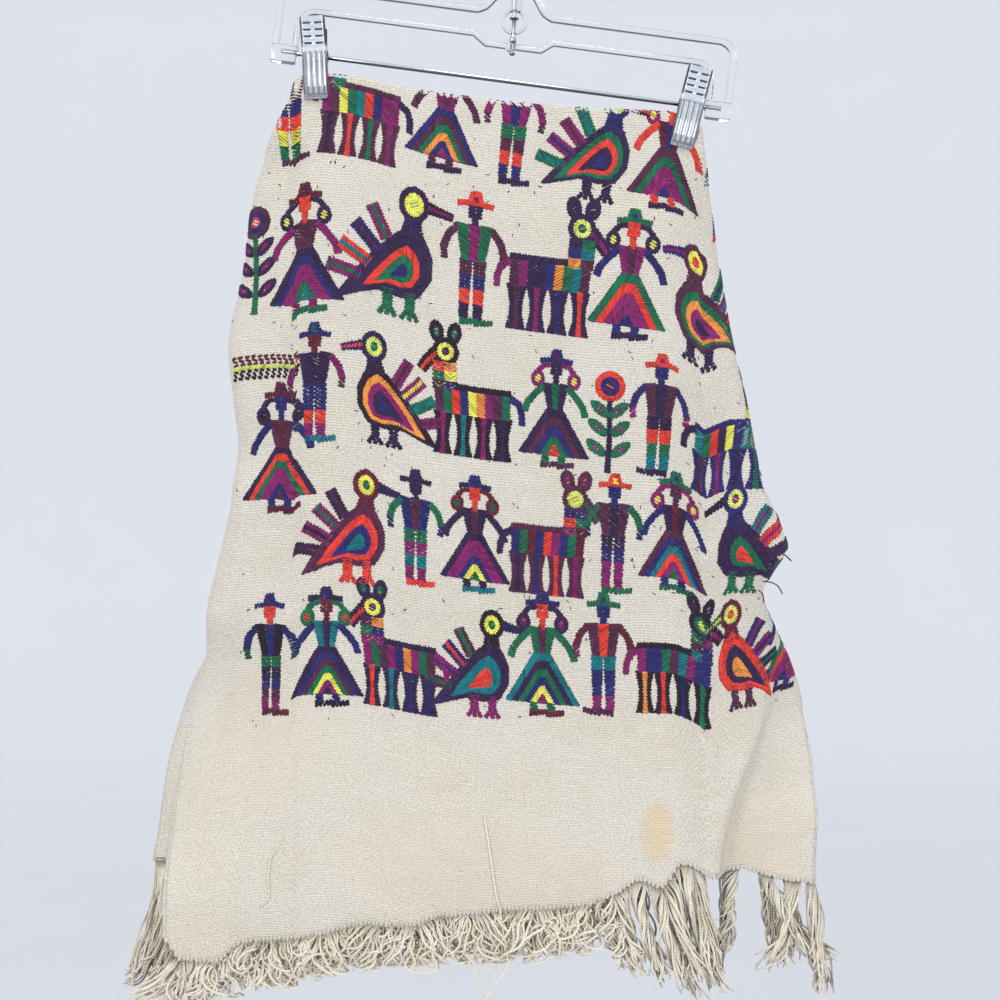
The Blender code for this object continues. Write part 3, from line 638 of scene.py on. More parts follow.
cotton = Paint("handwoven cotton")
flat_u, flat_w, _ = cotton.apart(cotton.flat_place())
flat_u = flat_u * UV_SPAN
flat_w = flat_w * UV_SPAN - UV_START
flat_mm = cotton.together(flat_u, flat_w)
wander = cotton.noise(flat_mm, 0.03, 2.0) - 0.5
fuzz = cotton.noise(flat_mm, 1.1, 3.0, 0.6)
row_place = flat_w / ROW_PITCH + wander * 2.4 + fuzz * 0.3
row_wave = (row_place * (2 * math.pi)).sine() * 0.5 + 0.5
row = (row_place + 0.25).floor()
warp_wave = (flat_u * (math.pi / WARP_PITCH) + row * math.pi + fuzz * 1.5).sine() * 0.5 + 0.5
dashes = cotton.noise(cotton.together(flat_u * 0.5, row * 7.3), 1.0, 2.0).above(0.34, 0.62)
plain = flat_w.above(400.0, 530.0)
# Painted shade: the grooves between weft rows and the dips between warp yarns darken towards CREAM_SHADE.
painted_groove_shade = (1.0 - row_wave).above(0.45, 1.0) * (dashes * 0.7 + 0.3) * (1.0 - plain * 0.5)
patch = cotton.noise(flat_mm, 0.012, 4.0, 0.6)
streak = cotton.noise(cotton.together(flat_u * 0.02, flat_w * 0.9), 1.0, 2.0)
colour = cotton.blend(patch.above(0.38, 0.66) * 0.7 + plain * 0.3, CREAM, CREAM_WARM)
colour = cotton.blend(painted_groove_shade * 0.62 + (1.0 - warp_wave) * row_wave * 0.12, colour, CREAM_SHADE)
colour = cotton.blend(streak.above(0.5, 0.8) * 0.3, colour, linear(240, 237, 229))
slub = cotton.noise(flat_mm, 0.62, 2.0, 0.7)
colour = cotton.blend(slub.above(0.5, 0.68) * 0.34, colour, CREAM_SHADE)
colour = cotton.blend((1.0 - slub).above(0.5, 0.68) * 0.5, colour, linear(246, 243, 235))
for mark_u, mark_w, mark_x, mark_y, mark_colour, strength in MARKS:
    dx = (flat_u - mark_u) / mark_x
    dy = (flat_w - mark_w) / mark_y
    faded = 1.0 - (dx * dx + dy * dy + (patch - 0.5) * 0.8).above(0.0, 1.3)
    colour = cotton.blend(faded * strength, colour, mark_colour)
height = row_wave * (0.5 - plain * 0.2) + warp_wave * row_wave * 0.4 + slub * (plain * 0.5 + 0.5)
cotton.look(Base_Color=colour, Roughness=0.95, Sheen_Weight=0.1, Sheen_Roughness=0.6)
cotton.raised(height, 0.0008)
wear(cloth, cotton)
print("cloth finish:", len(cotton.tree.nodes), "nodes")

# %% [markdown]
# ## Stitches
# Each figure is worked in thick slanted stitches, laid side by side in bands. One stitch
# is a low ridge of six faces. A band is the space between two edge lines, and every
# stitch runs from one edge to the other, a little slanted, as wrapped weft yarn does.
# %% Stitch mesh
STITCH_PITCH = 2.2
STITCH_HEIGHT = 0.95
STITCH_WIDTH = (0.58, 0.72)
BAND_WIDTH = 5.2
LEAN = 0.42
LEAN_WIDTH = 6.0
SHORTEST = 0.9
UNEVEN = 0.24
OVERLAP = 0.8
DYE_SPREAD = 0.16
# One stitch: share along, share across, height, and the painted shade on its dye, dark at the sides and
# ends and light along the crest
STITCH_SHAPE_AND_SHADE = np.array((
    (-1.0, 0.0, -0.25, 0.3), (-0.86, -1.0, -0.25, 0.0), (-0.66, 0.0, 0.95, 1.2),
    (-0.86, 1.0, -0.25, 0.0), (0.86, -1.0, -0.25, 0.0), (0.66, 0.0, 0.95, 1.2),
    (0.86, 1.0, -0.25, 0.0), (1.0, 0.0, -0.25, 0.3),
))
STITCH_FACES = ((0, 1, 2), (0, 2, 3), (1, 4, 5, 2), (2, 5, 6, 3), (7, 5, 4), (7, 6, 5))
# Yarn colours by letter
YARN = {letter: linear(*dye) for letter, dye in {
    "n": (40, 40, 106), "v": (50, 31, 72), "p": (84, 38, 68), "m": (130, 31, 100),
    "g": (22, 104, 74), "t": (10, 114, 124), "r": (224, 62, 50), "o": (236, 142, 66),
    "y": (234, 224, 92), "l": (212, 224, 112), "k": (40, 24, 44), "b": (98, 30, 52),
}.items()}
needle = random.Random(11)


def edge_at(edge, marks, t):
    return np.stack([np.interp(t, marks, edge[:, 0]), np.interp(t, marks, edge[:, 1])], axis=-1)


def band_stitches(first, second, slant):
    """Ends of the stitches that fill the band between two edges."""
    lengths = [np.linalg.norm(np.diff(edge, axis=0), axis=1) for edge in (first, second)]
    marks = np.concatenate([[0.0], np.cumsum((lengths[0] + lengths[1]) / 2)])
    total = marks[-1]
    width = np.linalg.norm(first - second, axis=1).mean()
    lean = slant * min(width, LEAN_WIDTH) * LEAN
    reach = min(abs(lean) * 0.7, total * 0.4)
    longest = max(length.sum() for length in lengths)
    count = max(int(round((longest + 2 * reach) / STITCH_PITCH)), 2)
    t = np.linspace(-reach, total + reach, count)
    starts = edge_at(first, marks, np.clip(t - lean, 0, total))
    ends = edge_at(second, marks, np.clip(t + lean, 0, total))
    wide = np.linalg.norm(starts - ends, axis=1) > SHORTEST
    return starts[wide], ends[wide]


def fill(first, second, colour):
    """Bands of one colour side by side between two edges, slanted by turns."""
    first, second = np.asarray(first, float), np.asarray(second, float)
    count = max(int(round(np.linalg.norm(first - second, axis=1).mean() / BAND_WIDTH)), 1)
    made = []
    for k in range(count):
        near = first + (second - first) * (k / count)
        far = first + (second - first) * ((k + 1) / count)
        made.append((near, far, colour, 1 if k % 2 else -1))
    return made


class Work:
    """A piece of embroidery: stitches gathered until they are made into one mesh."""

    def __init__(self, name):
        self.name = name
        self.ends, self.colours, self.widths = [], [], []

    def add(self, bands, u, w, size=1.0, tilt=0.0, flip=1.0):
        """Works bands drawn in their own millimetres, with their foot at u, w."""
        cos, sin = math.cos(math.radians(tilt)), math.sin(math.radians(tilt))
        turn = np.array(((cos, sin), (-sin, cos))) * size
        for near, far, colour, slant in bands:
            near = (near * (flip, 1.0)) @ turn + (u, -w)
            far = (far * (flip, 1.0)) @ turn + (u, -w)
            starts, stops = band_stitches(near, far, slant)
            for start, stop in zip(starts, stops):
                tone = needle.gauss(1.0, DYE_SPREAD)
                self.ends.append((start, stop))
                self.widths.append(STITCH_PITCH * needle.uniform(*STITCH_WIDTH))
                self.colours.append([min(max(c * tone, 0.0), 1.0) for c in YARN[colour]] + [1.0])

    def make(self, finish, height=STITCH_HEIGHT, shade_contrast=1.0):
        ends = np.array(self.ends)
        jitter = [needle.uniform(-UNEVEN, UNEVEN) for _ in range(ends.size)]
        jitter = np.array(jitter).reshape(ends.shape)
        start, stop = ends[:, 0] + jitter[:, 0], ends[:, 1] + jitter[:, 1]
        middle, along = (start + stop) / 2, (stop - start) / 2
        length = np.linalg.norm(along, axis=1, keepdims=True)
        along = along * (1 + OVERLAP / np.maximum(length, 0.5))
        across = np.stack([-along[:, 1], along[:, 0]], axis=-1)
        across *= np.array(self.widths)[:, None] / np.linalg.norm(across, axis=1, keepdims=True)
        s, c, h, painted_tones = STITCH_SHAPE_AND_SHADE.T
        # Painted shade and highlight: each stitch's dye is darkened at its sides and ends and lightened
        # at its crest, scaled by the shade contrast.
        painted_tones = 1.0 + (painted_tones - 1.0) * shade_contrast
        points = middle[:, None] + along[:, None] * s[None, :, None]
        points = points + across[:, None] * c[None, :, None]
        heights = np.broadcast_to(h * height, points.shape[:2])
        places = cloth_surface(points[..., 0].ravel(), -points[..., 1].ravel(), heights.ravel()) * MM
        corners = len(STITCH_SHAPE_AND_SHADE)
        faces = [tuple(i * corners + k for k in face) for i in range(len(ends)) for face in STITCH_FACES]
        mesh = bpy.data.meshes.new(self.name)
        mesh.from_pydata(places.tolist(), [], faces)
        mesh.shade_smooth()
        # The dye attribute holds each stitch's yarn colour times its painted shade.
        dye = mesh.color_attributes.new("dye", "FLOAT_COLOR", "POINT")
        painted_shades = np.array(self.colours)[:, None] * np.stack([painted_tones, painted_tones, painted_tones, painted_tones ** 0], axis=-1)
        dye.data.foreach_set("color", np.minimum(painted_shades, 1.0).ravel())
        mesh.materials.append(finish)
        print(self.name, len(ends), "stitches")
        return placed(self.name, mesh)


# %% [markdown]
# ## The yarn's look
# Every stitch carries its own dye in a colour attribute, darkened by painted shade at its
# sides and ends and lightened by a painted highlight along its crest. Fine noise along the
# yarn gives it a soft, slightly shiny twist.
# %% Yarn finish
wool = Paint("embroidery yarn")
dye_and_painted_shade = wool.node("ShaderNodeAttribute", {"attribute_name": "dye"})
strands = wool.noise(wool.object_place(), 1500.0, 2.0)
wool.look(Base_Color=wool.blend(strands.above(0.5, 0.8) * 0.05, dye_and_painted_shade, linear(250, 244, 240)))
wool.look(Roughness=0.7, Sheen_Weight=0.03, Specular_IOR_Level=0.25)
wool.raised(strands, 0.0003)
print("yarn finish ready")


# %% [markdown]
# ## Drawing tools for the figures
# A stroke follows a line with a width. A nest repeats an outline, smaller each time, in
# another colour. Stripes share out the space between two edges.
# %% Strokes, nests and stripes
def offset(points, distance):
    """A line moved sideways by a distance at each point."""
    points = np.asarray(points, float)
    steps = np.diff(points, axis=0)
    steps /= np.linalg.norm(steps, axis=1, keepdims=True)
    tangents = np.vstack([steps[:1], steps[:-1] + steps[1:], steps[-1:]])
    tangents /= np.linalg.norm(tangents, axis=1, keepdims=True)
    normals = np.stack([-tangents[:, 1], tangents[:, 0]], axis=-1)
    return points + normals * np.asarray(distance, float).reshape(-1, 1)


def stripes(first, second, colours):
    """The space between two edges, shared out to colours from the first to the second."""
    first, second = np.asarray(first, float), np.asarray(second, float)
    made = []
    for k, colour in enumerate(colours):
        near = first + (second - first) * (k / len(colours))
        far = first + (second - first) * ((k + 1) / len(colours))
        made += fill(near, far, colour)
    return made


def stroke(points, width, colours):
    """Lanes of colour along a line whose width goes from its first to its last value."""
    widths = np.linspace(*width, len(points)) if isinstance(width, tuple) else np.full(len(points), width)
    return stripes(offset(points, widths / 2), offset(points, -widths / 2), colours)


def nest(outline, centre, colours, closed=True):
    """An outline repeated inwards in bands, with its last colour as the core."""
    outline = np.asarray(outline, float)
    if closed:
        outline = np.vstack([outline, outline[:1]])
    centre = np.asarray(centre, float)
    made = []
    shares = np.linspace(1.0, 0.0, len(colours) + 1)
    for share, following, colour in zip(shares, shares[1:-1], colours):
        outer, inner = (centre + (outline - centre) * s for s in (share, following))
        made += fill(outer, inner, colour)
    core = centre + (outline - centre) * shares[-2]
    half = (len(core) + 1) // 2
    return made + fill(core[:half], core[::-1][:half], colours[-1])


def oval(x, y, width, height, turn=0.0, count=12):
    """Outline of an oval that starts at its top."""
    angles = np.linspace(0, 2 * math.pi, count, endpoint=False)
    a, b = width / 2 * np.sin(angles), height / 2 * np.cos(angles)
    cos, sin = math.cos(math.radians(turn)), math.sin(math.radians(turn))
    return np.stack([x + a * cos - b * sin, y + a * sin + b * cos], axis=-1)


def stack(left, right, colours):
    """Colours one above the other, from the foot up, between two upright lines."""
    left, right = np.asarray(left, float), np.asarray(right, float)
    made = []
    for k, colour in enumerate(colours):
        low, high = k / len(colours), (k + 1) / len(colours)
        ends = np.array((low, high))[:, None]
        made += fill(*(edge[0] + (edge[1] - edge[0]) * ends for edge in (left, right)), colour)
    return made


# %% [markdown]
# ## The figures
# The panel is filled with common folk motifs: walkers and dancers in hats, birds, banded
# animals, plants, a star and a border. Each is a short function of strokes and nests. The
# large ones are about a hundred millimetres tall. They take their colours as letters.
# %% Walker and dancer
def hat(y, colours):
    crown = [(-5.5, y + 1), (-3.5, y + 9), (3.5, y + 9), (5.5, y + 1)]
    brim = stroke([(-13, y - 1), (-4, y), (4, y), (13, y - 1)], 3.6, colours[0])
    return brim + nest(crown, (0, y + 1), colours[:2], False)


def upright(x, half, low, high, colours):
    """A straight bar from low to high about x, its colours from the foot up."""
    return stack([(x - half, low), (x - half, high)], [(x + half, low), (x + half, high)], colours)


def foot(x, y, colour):
    return stroke([(x - 2.0, y), (x + 4, y + 0.5), (x + 11, y + 1.5)], (5.0, 3.6), colour)


def walker(c):
    """Hat, hat inside, head, shirt, shirt middle, arms, hands, then leg colours and shoes."""
    made = hat(94, c[0:2])
    made += stack([(-4.8, 83), (-5.2, 92)], [(4.8, 83), (5.2, 92)], c[2])
    made += upright(0, 2.4, 77, 83, c[2])
    made += stripes([(-9, 50), (-14, 77)], [(9, 50), (14, 77)], c[3] + c[4] + c[3])
    for side in (1, -1):
        made += stroke([(side * 13, 75), (side * 20, 67), (side * 23, 57)], 5.2, c[5])
        made += stroke([(side * 23, 57), (side * 22, 49)], 4.4, c[6])
        low, high = side * 5.4, side * 5.2
        made += stack([(low - 3.3, 6), (high - 4.6, 50)], [(low + 3.3, 6), (high + 4.6, 50)], c[7:-1])
        made += foot(side * 5.4, 3, c[-1])
    return made


def dancer(c):
    """Hat, hat inside, head, loops, loop middle, bodice, its middle, arms, shoes, then the skirt."""
    made = hat(94, c[0:2])
    made += stack([(-4.6, 82), (-4.8, 92)], [(4.6, 82), (4.8, 92)], c[2])
    made += upright(0, 2.2, 72, 82, c[2])
    made += stripes([(-6, 52), (-11, 73)], [(6, 52), (11, 73)], c[5] + c[6] + c[5])
    for side in (1, -1):
        made += stroke([(side * 5, 90), (side * 11, 89), (side * 15, 84)], 3.6, c[3])
        made += nest(oval(side * 15.5, 77, 11, 14), (side * 15.5, 77), c[3:5])
        made += stroke([(side * 10, 71), (side * 18, 63), (side * 24, 55), (side * 26, 48)], 5.0, c[7])
        made += upright(side * 7, 3.0, 5, 12, c[7])
        made += foot(side * 7 - 1, 3, c[8])
    return made + nest([(-30, 12), (-6, 53), (6, 53), (30, 12)], (0, 12), c[9:], False)


# %% Bird and beast
def bird(c):
    """Head, head ring, eye, beak, beak middle, legs, feather pairs of three, then body colours."""
    made = nest(oval(-14, 88, 23, 28), (-14, 88), c[0:3])
    made += stroke([(-25, 88), (-33, 86), (-43, 84)], (8.5, 5.0), c[3] + c[4] + c[3])
    made += stack([(-22, 62), (-19.5, 77)], [(-4, 64), (-8, 77)], c[0])
    for x in (-13, 4):
        made += stack([(x - 3.4, 8), (x - 4.4, 20)], [(x + 3.4, 8), (x + 4.4, 20)], c[5])
        for toe in (-6, 0, 6):
            made += stroke([(x, 9), (x + toe, 0)], (3.6, 2.8), c[5])
    for k, turn in enumerate((62, 46, 30, 14)):
        a = math.radians(turn)
        start = (6 + 6.5 * k, 58 - 11 * k)
        end = (start[0] + 25 * math.cos(a), start[1] + 25 * math.sin(a))
        first, second = c[6 + k % 3], c[9 + k % 3]
        made += stroke([start, end], 9.5, first + second + first)
    body = [(-12, 71), (-1, 64), (13, 49), (28, 30), (44, 6), (32, 10), (12, 17), (-6, 15),
            (-20, 18), (-29, 34), (-29, 50), (-22, 65)]
    return made + nest(body, (-6, 34), c[12:])


def beast(c):
    """Outline, head ring, eye, ear middle, muzzle middle, tail, four leg middles, then body stripes."""
    made = nest(oval(-25, 86, 22, 23), (-25, 86), c[0:3])
    for x, turn in ((-33, 12), (-18, -10)):
        made += nest(oval(x, 102, 11.5, 18, turn), (x, 102), c[0] + c[3])
    made += stroke([(-33, 83), (-40, 76), (-45, 69)], (11.5, 8.0), c[0] + c[4] + c[0])
    for left, right, part in ((-36, -26, c[10:13]), (-26, -16, c[13:16])):
        made += stack([(left + 1, 54), (left, 77)], [(right + 1, 54), (right, 77)], part)
    made += stripes([(-32, 35), (-34, 55)], [(30, 35), (30, 55)], (c[10:] * 2)[:9])
    made += stripes([(-15, 55), (30, 55)], [(-15, 60), (30, 60)], c[0])
    made += stroke([(30, 54), (37, 50), (40, 41), (40, 33)], (5.5, 4.2), c[5])
    for x, inside in zip((-26, -9, 8, 24), c[6:10]):
        left = [(x - 7.6, 35), (x - 4.8, 22), (x - 4.6, 12), (x - 7.4, 1)]
        right = [(2 * x - a, y) for a, y in left]
        made += stripes(left, right, c[0] + inside + c[0])
    return made


# %% Plant, star and border
def plant(c):
    """Stem, leaf, leaf middle, then flower colours."""
    made = stroke([(0, 0), (1, 34), (0, 72)], (5.0, 3.6), c[0])
    for y, reach in ((14, 19), (34, 17), (52, 14)):
        for side in (1, -1):
            leaf = oval(side * reach * 0.62, y + 9, 9.5, 23, -side * 52)
            made += nest(leaf, (side * reach * 0.62, y + 9), c[1:3])
    return made + nest(oval(0, 84, 29, 29, 0, 16), (0, 84), c[3:])


def star(c):
    """A nest of eight-pointed stars."""
    angles = np.linspace(0, 2 * math.pi, 16, endpoint=False)
    reach = np.where(np.arange(16) % 2 == 0, 17.0, 9.0)
    return nest(np.stack([reach * np.sin(angles), 17 + reach * np.cos(angles)], axis=-1), (0, 17), c)


def border(c):
    """Short upright bars in two rows with a line between them."""
    made = []
    for k in range(11):
        x = -30 + 6 * k
        made += stroke([(x, 1), (x + 2.4, 8)], 3.0, c[0])
        made += stroke([(x + 2.4, 14), (x, 21)], 3.0, c[1])
    return made + stroke([(-32, 11), (34, 11)], 2.6, c[2])


DRAWINGS = {"walker": walker, "dancer": dancer, "bird": bird, "beast": beast, "plant": plant,
            "star": star, "border": border}
print("figures to choose from:", ", ".join(DRAWINGS))

# %% [markdown]
# ## The panel
# The rows of figures run across the cloth and carry on over the top fold onto the back
# layer. Each row of the table is one figure with its own place, size and colours.
# %% Layout of the panel
FIGURE_SIZE = 0.92
# Figure, u and w of its foot, size, tilt, flip, colours
ROWS = {
    "first": (
        ("walker", 92, 64, 0.98, 0, 1, "nvrvnbmgyrnp"),
        ("beast", 144, 62, 1.0, -5, 1, "pylgmvvrgmmpygtrnm"),
        ("dancer", 206, 60, 1.0, -6, 1, "rnkgmmppvnpgonm"),
        ("walker", 258, 64, 1.0, -6, 1, "gvpmnmpnrpgv"),
        ("bird", 320, 70, 0.94, -7, -1, "nlgkrvgmmtpnvgrvn"),
        ("dancer", 374, 76, 1.0, -7, 1, "vnrmybnrvpgmmn"),
        ("walker", 424, 88, 0.98, -7, 1, "mnvgrptnvmgr"),
        ("dancer", 470, 92, 0.98, -7, 1, "bvrvyppmgvnmmgt"),
    ),
    "second": (
        ("plant", 62, 176, 0.92, 0, 1, "gvmpnr"),
        ("dancer", 104, 182, 1.06, 0, 1, "bvrvyppmgvnmmgt"),
        ("bird", 170, 176, 1.08, -2, -1, "vylkmgmnrgptvvrgn"),
        ("walker", 229, 174, 1.08, -3, 1, "rbvgmppvrnpg"),
        ("beast", 286, 174, 1.04, -3, -1, "vlgvmmrnmpptgonvvm"),
        ("dancer", 346, 176, 1.06, -5, 1, "gnrvympnvgrmmn"),
        ("bird", 408, 184, 0.98, -5, 1, "pyrnmvgmpntrpgomv"),
        ("walker", 462, 186, 1.0, -5, 1, "gvnprbmmnntp"),
    ),
    "third": (
        ("border", 72, 226, 0.9, 0, 1, "kbl"),
        ("walker", 112, 280, 0.96, 0, 1, "ngbvvmpmrnnt"),
        ("bird", 168, 276, 0.9, 0, 1, "vlgnrvmmgpytkomvn"),
        ("beast", 232, 274, 0.98, -1, 1, "kyvgrnmtmvpgrnyom"),
        ("dancer", 292, 276, 0.95, -2, 1, "nbvmyvggpvpngr"),
        ("plant", 333, 276, 0.84, -2, 1, "vgmrnb"),
        ("walker", 370, 278, 0.98, -3, -1, "rmnpvnmtgrvv"),
        ("beast", 424, 282, 0.96, -4, -1, "nlrmyvgvmprgtnyv"),
        ("dancer", 480, 286, 0.95, -4, 1, "vnrmybnrvpgmmn"),
    ),
    "fourth": (
        ("dancer", 84, 330, 1.06, 0, 1, "bvnvkpbnbvrgmmnp"),
        ("bird", 140, 384, 0.92, 1, -1, "bygvnrvmmpgkprnt"),
        ("walker", 188, 378, 0.93, 0, 1, "vnvnpgnmtmgr"),
        ("dancer", 233, 376, 0.94, 0, 1, "nvrbgvpvtvmmnyg"),
        ("beast", 286, 372, 0.94, -1, -1, "plymgvmrnvbgnmrn"),
        ("walker", 336, 368, 0.96, -2, 1, "rynpvgnmmnvg"),
        ("dancer", 382, 364, 0.96, -2, 1, "gnpmyvbngpntrmg"),
        ("bird", 440, 362, 0.88, -3, 1, "nlmkvgtrpmmnvvgr"),
        ("walker", 484, 356, 0.88, -3, 1, "mnvgrptnvmgr"),
    ),
    "fifth": (
        ("walker", 78, 484, 0.98, 1, 1, "nvrknngmpnvgb"),
        ("dancer", 122, 480, 0.96, 1, 1, "vnbgrtvnkvnpgymv"),
        ("beast", 178, 474, 0.93, 1, 1, "vyvgrmrtnnmgpmno"),
        ("bird", 236, 468, 0.86, 1, -1, "kygvnmpnmgrnvtr"),
        ("dancer", 284, 464, 1.0, 0, 1, "nvrvmgpgbtvgnym"),
        ("walker", 330, 460, 0.98, 0, -1, "gvnprbmmnntp"),
        ("beast", 382, 456, 0.95, 0, -1, "kgyvmmgnronnmtpg"),
        ("bird", 442, 450, 0.88, 0, 1, "blrgypnmvmngrvo"),
        ("dancer", 488, 444, 0.9, 0, 1, "gnrvympnvgrmmn"),
    ),
    "behind_first": (
        ("bird", 120, -72, 1.1, 0, 1, "nlgkrvgmmtpnvgrvp"),
        ("dancer", 190, -76, 1.1, 0, 1, "gnrvympnvgrmmn"),
        ("beast", 256, -76, 1.08, 0, 1, "plymgvmrnvbgymrn"),
        ("walker", 322, -78, 1.08, 0, 1, "vnvnpgrmtmgrn"),
        ("bird", 380, -78, 1.0, 0, -1, "vlgnrvmmgpytkomvr"),
        ("dancer", 446, -80, 1.06, 0, 1, "rnkgmmppvrpgonm"),
    ),
    "behind_second": (
        ("walker", 80, -206, 1.05, 0, 1, "rbvgmpprvnpg"),
        ("beast", 140, -206, 1.05, 0, -1, "vlgvmmrnyptgonrvm"),
        ("plant", 196, -206, 1.0, 0, 1, "gvmpnlr"),
        ("dancer", 250, -206, 1.1, 0, 1, "nbvmyvggrpyngr"),
        ("bird", 318, -206, 1.05, 0, 1, "pyrnmvgmyntrpgomv"),
        ("walker", 378, -206, 1.08, 0, 1, "gvnprbmmnytp"),
        ("dancer", 436, -206, 1.0, 0, 1, "bvnvkpbnbrgmmnp"),
    ),
    "behind_third": (
        ("dancer", 84, -334, 1.06, 0, 1, "vnrmybnrvtmmgn"),
        ("bird", 150, -334, 1.0, 0, -1, "bygvnrvmmpgkprnt"),
        ("walker", 206, -334, 1.05, 0, 1, "nyrkgrmpvvgmr"),
        ("beast", 268, -334, 1.05, 0, 1, "kyvgrnmtmypgrnyom"),
        ("star", 324, -350, 1.0, 0, 1, "ngyr"),
        ("dancer", 372, -334, 1.06, 0, 1, "bvrvyppmgvnmmgt"),
        ("bird", 440, -334, 1.0, 0, 1, "nlmkvgyrpmmnvtgr"),
    ),
}

embroidery = []
for row_name, figures in ROWS.items():
    work = Work(f"embroidery_{row_name}")
    for kind, u, w, size, tilt, flip, colours in figures:
        work.add(DRAWINGS[kind](colours), u, w - 2.0, size * FIGURE_SIZE, tilt, flip)
    embroidery.append(work.make(wool.material))

# %% [markdown]
# ## Edges of the cloth
# Along each hem the weft turns around the last warp yarns, so the edge is toothed. Both
# selvedges have a light cord of turned weft. Both are cream stitches over the sheet's edge.
# %% Toothed hems and selvedges
TOOTH_PITCH = 3.1
CORD_PITCH = 2.6
CORD_INSET = 0.4
CORD_TOP = 4.0
CORD_LOW = 6.0
edges = Work("edge_loops")


def edge_stitch(start, stop, width):
    """One cream stitch between two flat places, each u and w."""
    edges.ends.append(((start[0], -start[1]), (stop[0], -stop[1])))
    edges.widths.append(width)
    tone = needle.gauss(0.86, 0.04)
    edges.colours.append([min(c * tone, 1.0) for c in CREAM] + [1.0])


for layer, sign in (("front", 1), ("back", -1)):
    teeth = np.arange(TOOTH_PITCH / 2, CLOTH_WIDTH, TOOTH_PITCH)
    for u, length in zip(teeth, hem_length(teeth, layer)):
        w = length if sign > 0 else -FOLD_LENGTH - length
        low = w + sign * needle.uniform(0.4, 1.3)
        above = (u + needle.uniform(-0.3, 0.3), w - sign * 2.0)
        edge_stitch(above, (u + needle.uniform(-0.7, 0.7), low), 1.5)
    for u in (CORD_INSET, CLOTH_WIDTH - CORD_INSET):
        length = float(hem_length(np.array([u]), layer)[0])
        start = CORD_TOP if sign > 0 else -FOLD_LENGTH - CORD_TOP
        for step in np.arange(0.0, length - CORD_LOW, CORD_PITCH):
            w = start + sign * step
            above = (u + needle.uniform(-0.2, 0.2), w)
            edge_stitch(above, (u + needle.uniform(-0.2, 0.2), w + sign * 2.2), 1.2)
# The edge stitches take the stitches' painted shade at 0.4 of its strength.
edge_loops = edges.make(wool.material, 0.6, 0.4)

# %% [markdown]
# ## Yarns
# Fringe yarns, loose threads and wires are round tubes along computed paths. One helper
# turns any number of paths into one mesh, with five to eight sides to a tube.
# %% Tubes along paths
def tubes(name, paths, radii, finish, sides=5, tips=0.35, painted_shades=None):
    """One mesh of closed tubes; each path is an array of points in millimetres."""
    places, faces, along = [], [], []
    angles = np.linspace(0, 2 * math.pi, sides, endpoint=False)
    for path, radius in zip(paths, radii):
        path = np.asarray(path, float)
        count = len(path)
        tangents = np.gradient(path, axis=0)
        tangents /= np.linalg.norm(tangents, axis=1, keepdims=True)
        side = np.cross(tangents, (0.31, 0.87, 0.13))
        side /= np.linalg.norm(side, axis=1, keepdims=True)
        other = np.cross(tangents, side)
        size = radius * np.where(np.arange(count) == count - 1, tips, 1.0)
        size[0] = radius * tips
        ring = np.cos(angles)[None, :, None] * side[:, None]
        ring = ring + np.sin(angles)[None, :, None] * other[:, None]
        rings = path[:, None] + size[:, None, None] * ring
        first = sum(len(block) for block in places)
        places.append(rings.reshape(-1, 3))
        run = np.concatenate([[0.0], np.cumsum(np.linalg.norm(np.diff(path, axis=0), axis=1))])
        turn = np.tile(np.arange(sides) / sides, count)
        along.append(np.stack([turn, np.repeat(run, sides) / 1000], axis=-1))
        for k in range(count - 1):
            a, b = first + k * sides, first + (k + 1) * sides
            pairs = [(s, (s + 1) % sides) for s in range(sides)]
            faces += [(a + s, a + after, b + after, b + s) for s, after in pairs]
        faces.append(tuple(first + s for s in reversed(range(sides))))
        faces.append(tuple(first + (count - 1) * sides + s for s in range(sides)))
    mesh = bpy.data.meshes.new(name)
    mesh.from_pydata((np.concatenate(places) * MM).tolist(), [], faces)
    flat = np.concatenate(along)
    mesh.uv_layers.new(name="flat")
    set_flat(mesh, flat)
    mesh.shade_smooth()
    mesh.materials.append(finish)
    piece = placed(name, mesh)
    dark = np.repeat(np.concatenate(painted_shades), sides) if painted_shades else np.zeros(len(flat))
    set_marks(piece, "shade", dark)
    outward(piece)
    print(name, len(paths), "tubes,", len(mesh.polygons), "faces")
    return piece


# %% Fringe yarn finish
YARN_COLOUR = linear(250, 240, 219)
YARN_LIGHT = linear(254, 248, 234)
YARN_SHADE = linear(212, 193, 162)
YARN_PAINTED_SHADE = linear(92, 74, 54)
twist = Paint("twisted fringe yarn")
around, run, _ = twist.apart(twist.flat_place())
ply = ((around * 2.0 + run * 420.0) * (2 * math.pi)).sine() * 0.5 + 0.5
tint = twist.noise(twist.object_place(), 60.0, 3.0)
tone = twist.blend(tint.above(0.35, 0.7), YARN_COLOUR, YARN_LIGHT)
# Painted shade: the grooves between the plies of the twist darken towards YARN_SHADE.
tone = twist.blend((1.0 - ply) * 0.25, tone, YARN_SHADE)
# Painted shade from the shade mark: deeper on the far side of each lock and under the hem, with a random
# tone per yarn.
tone = twist.blend(twist.mark("shade"), tone, YARN_PAINTED_SHADE)
twist.look(Base_Color=tone, Roughness=0.95, Sheen_Weight=0.15)
twist.raised(ply, 0.0004)

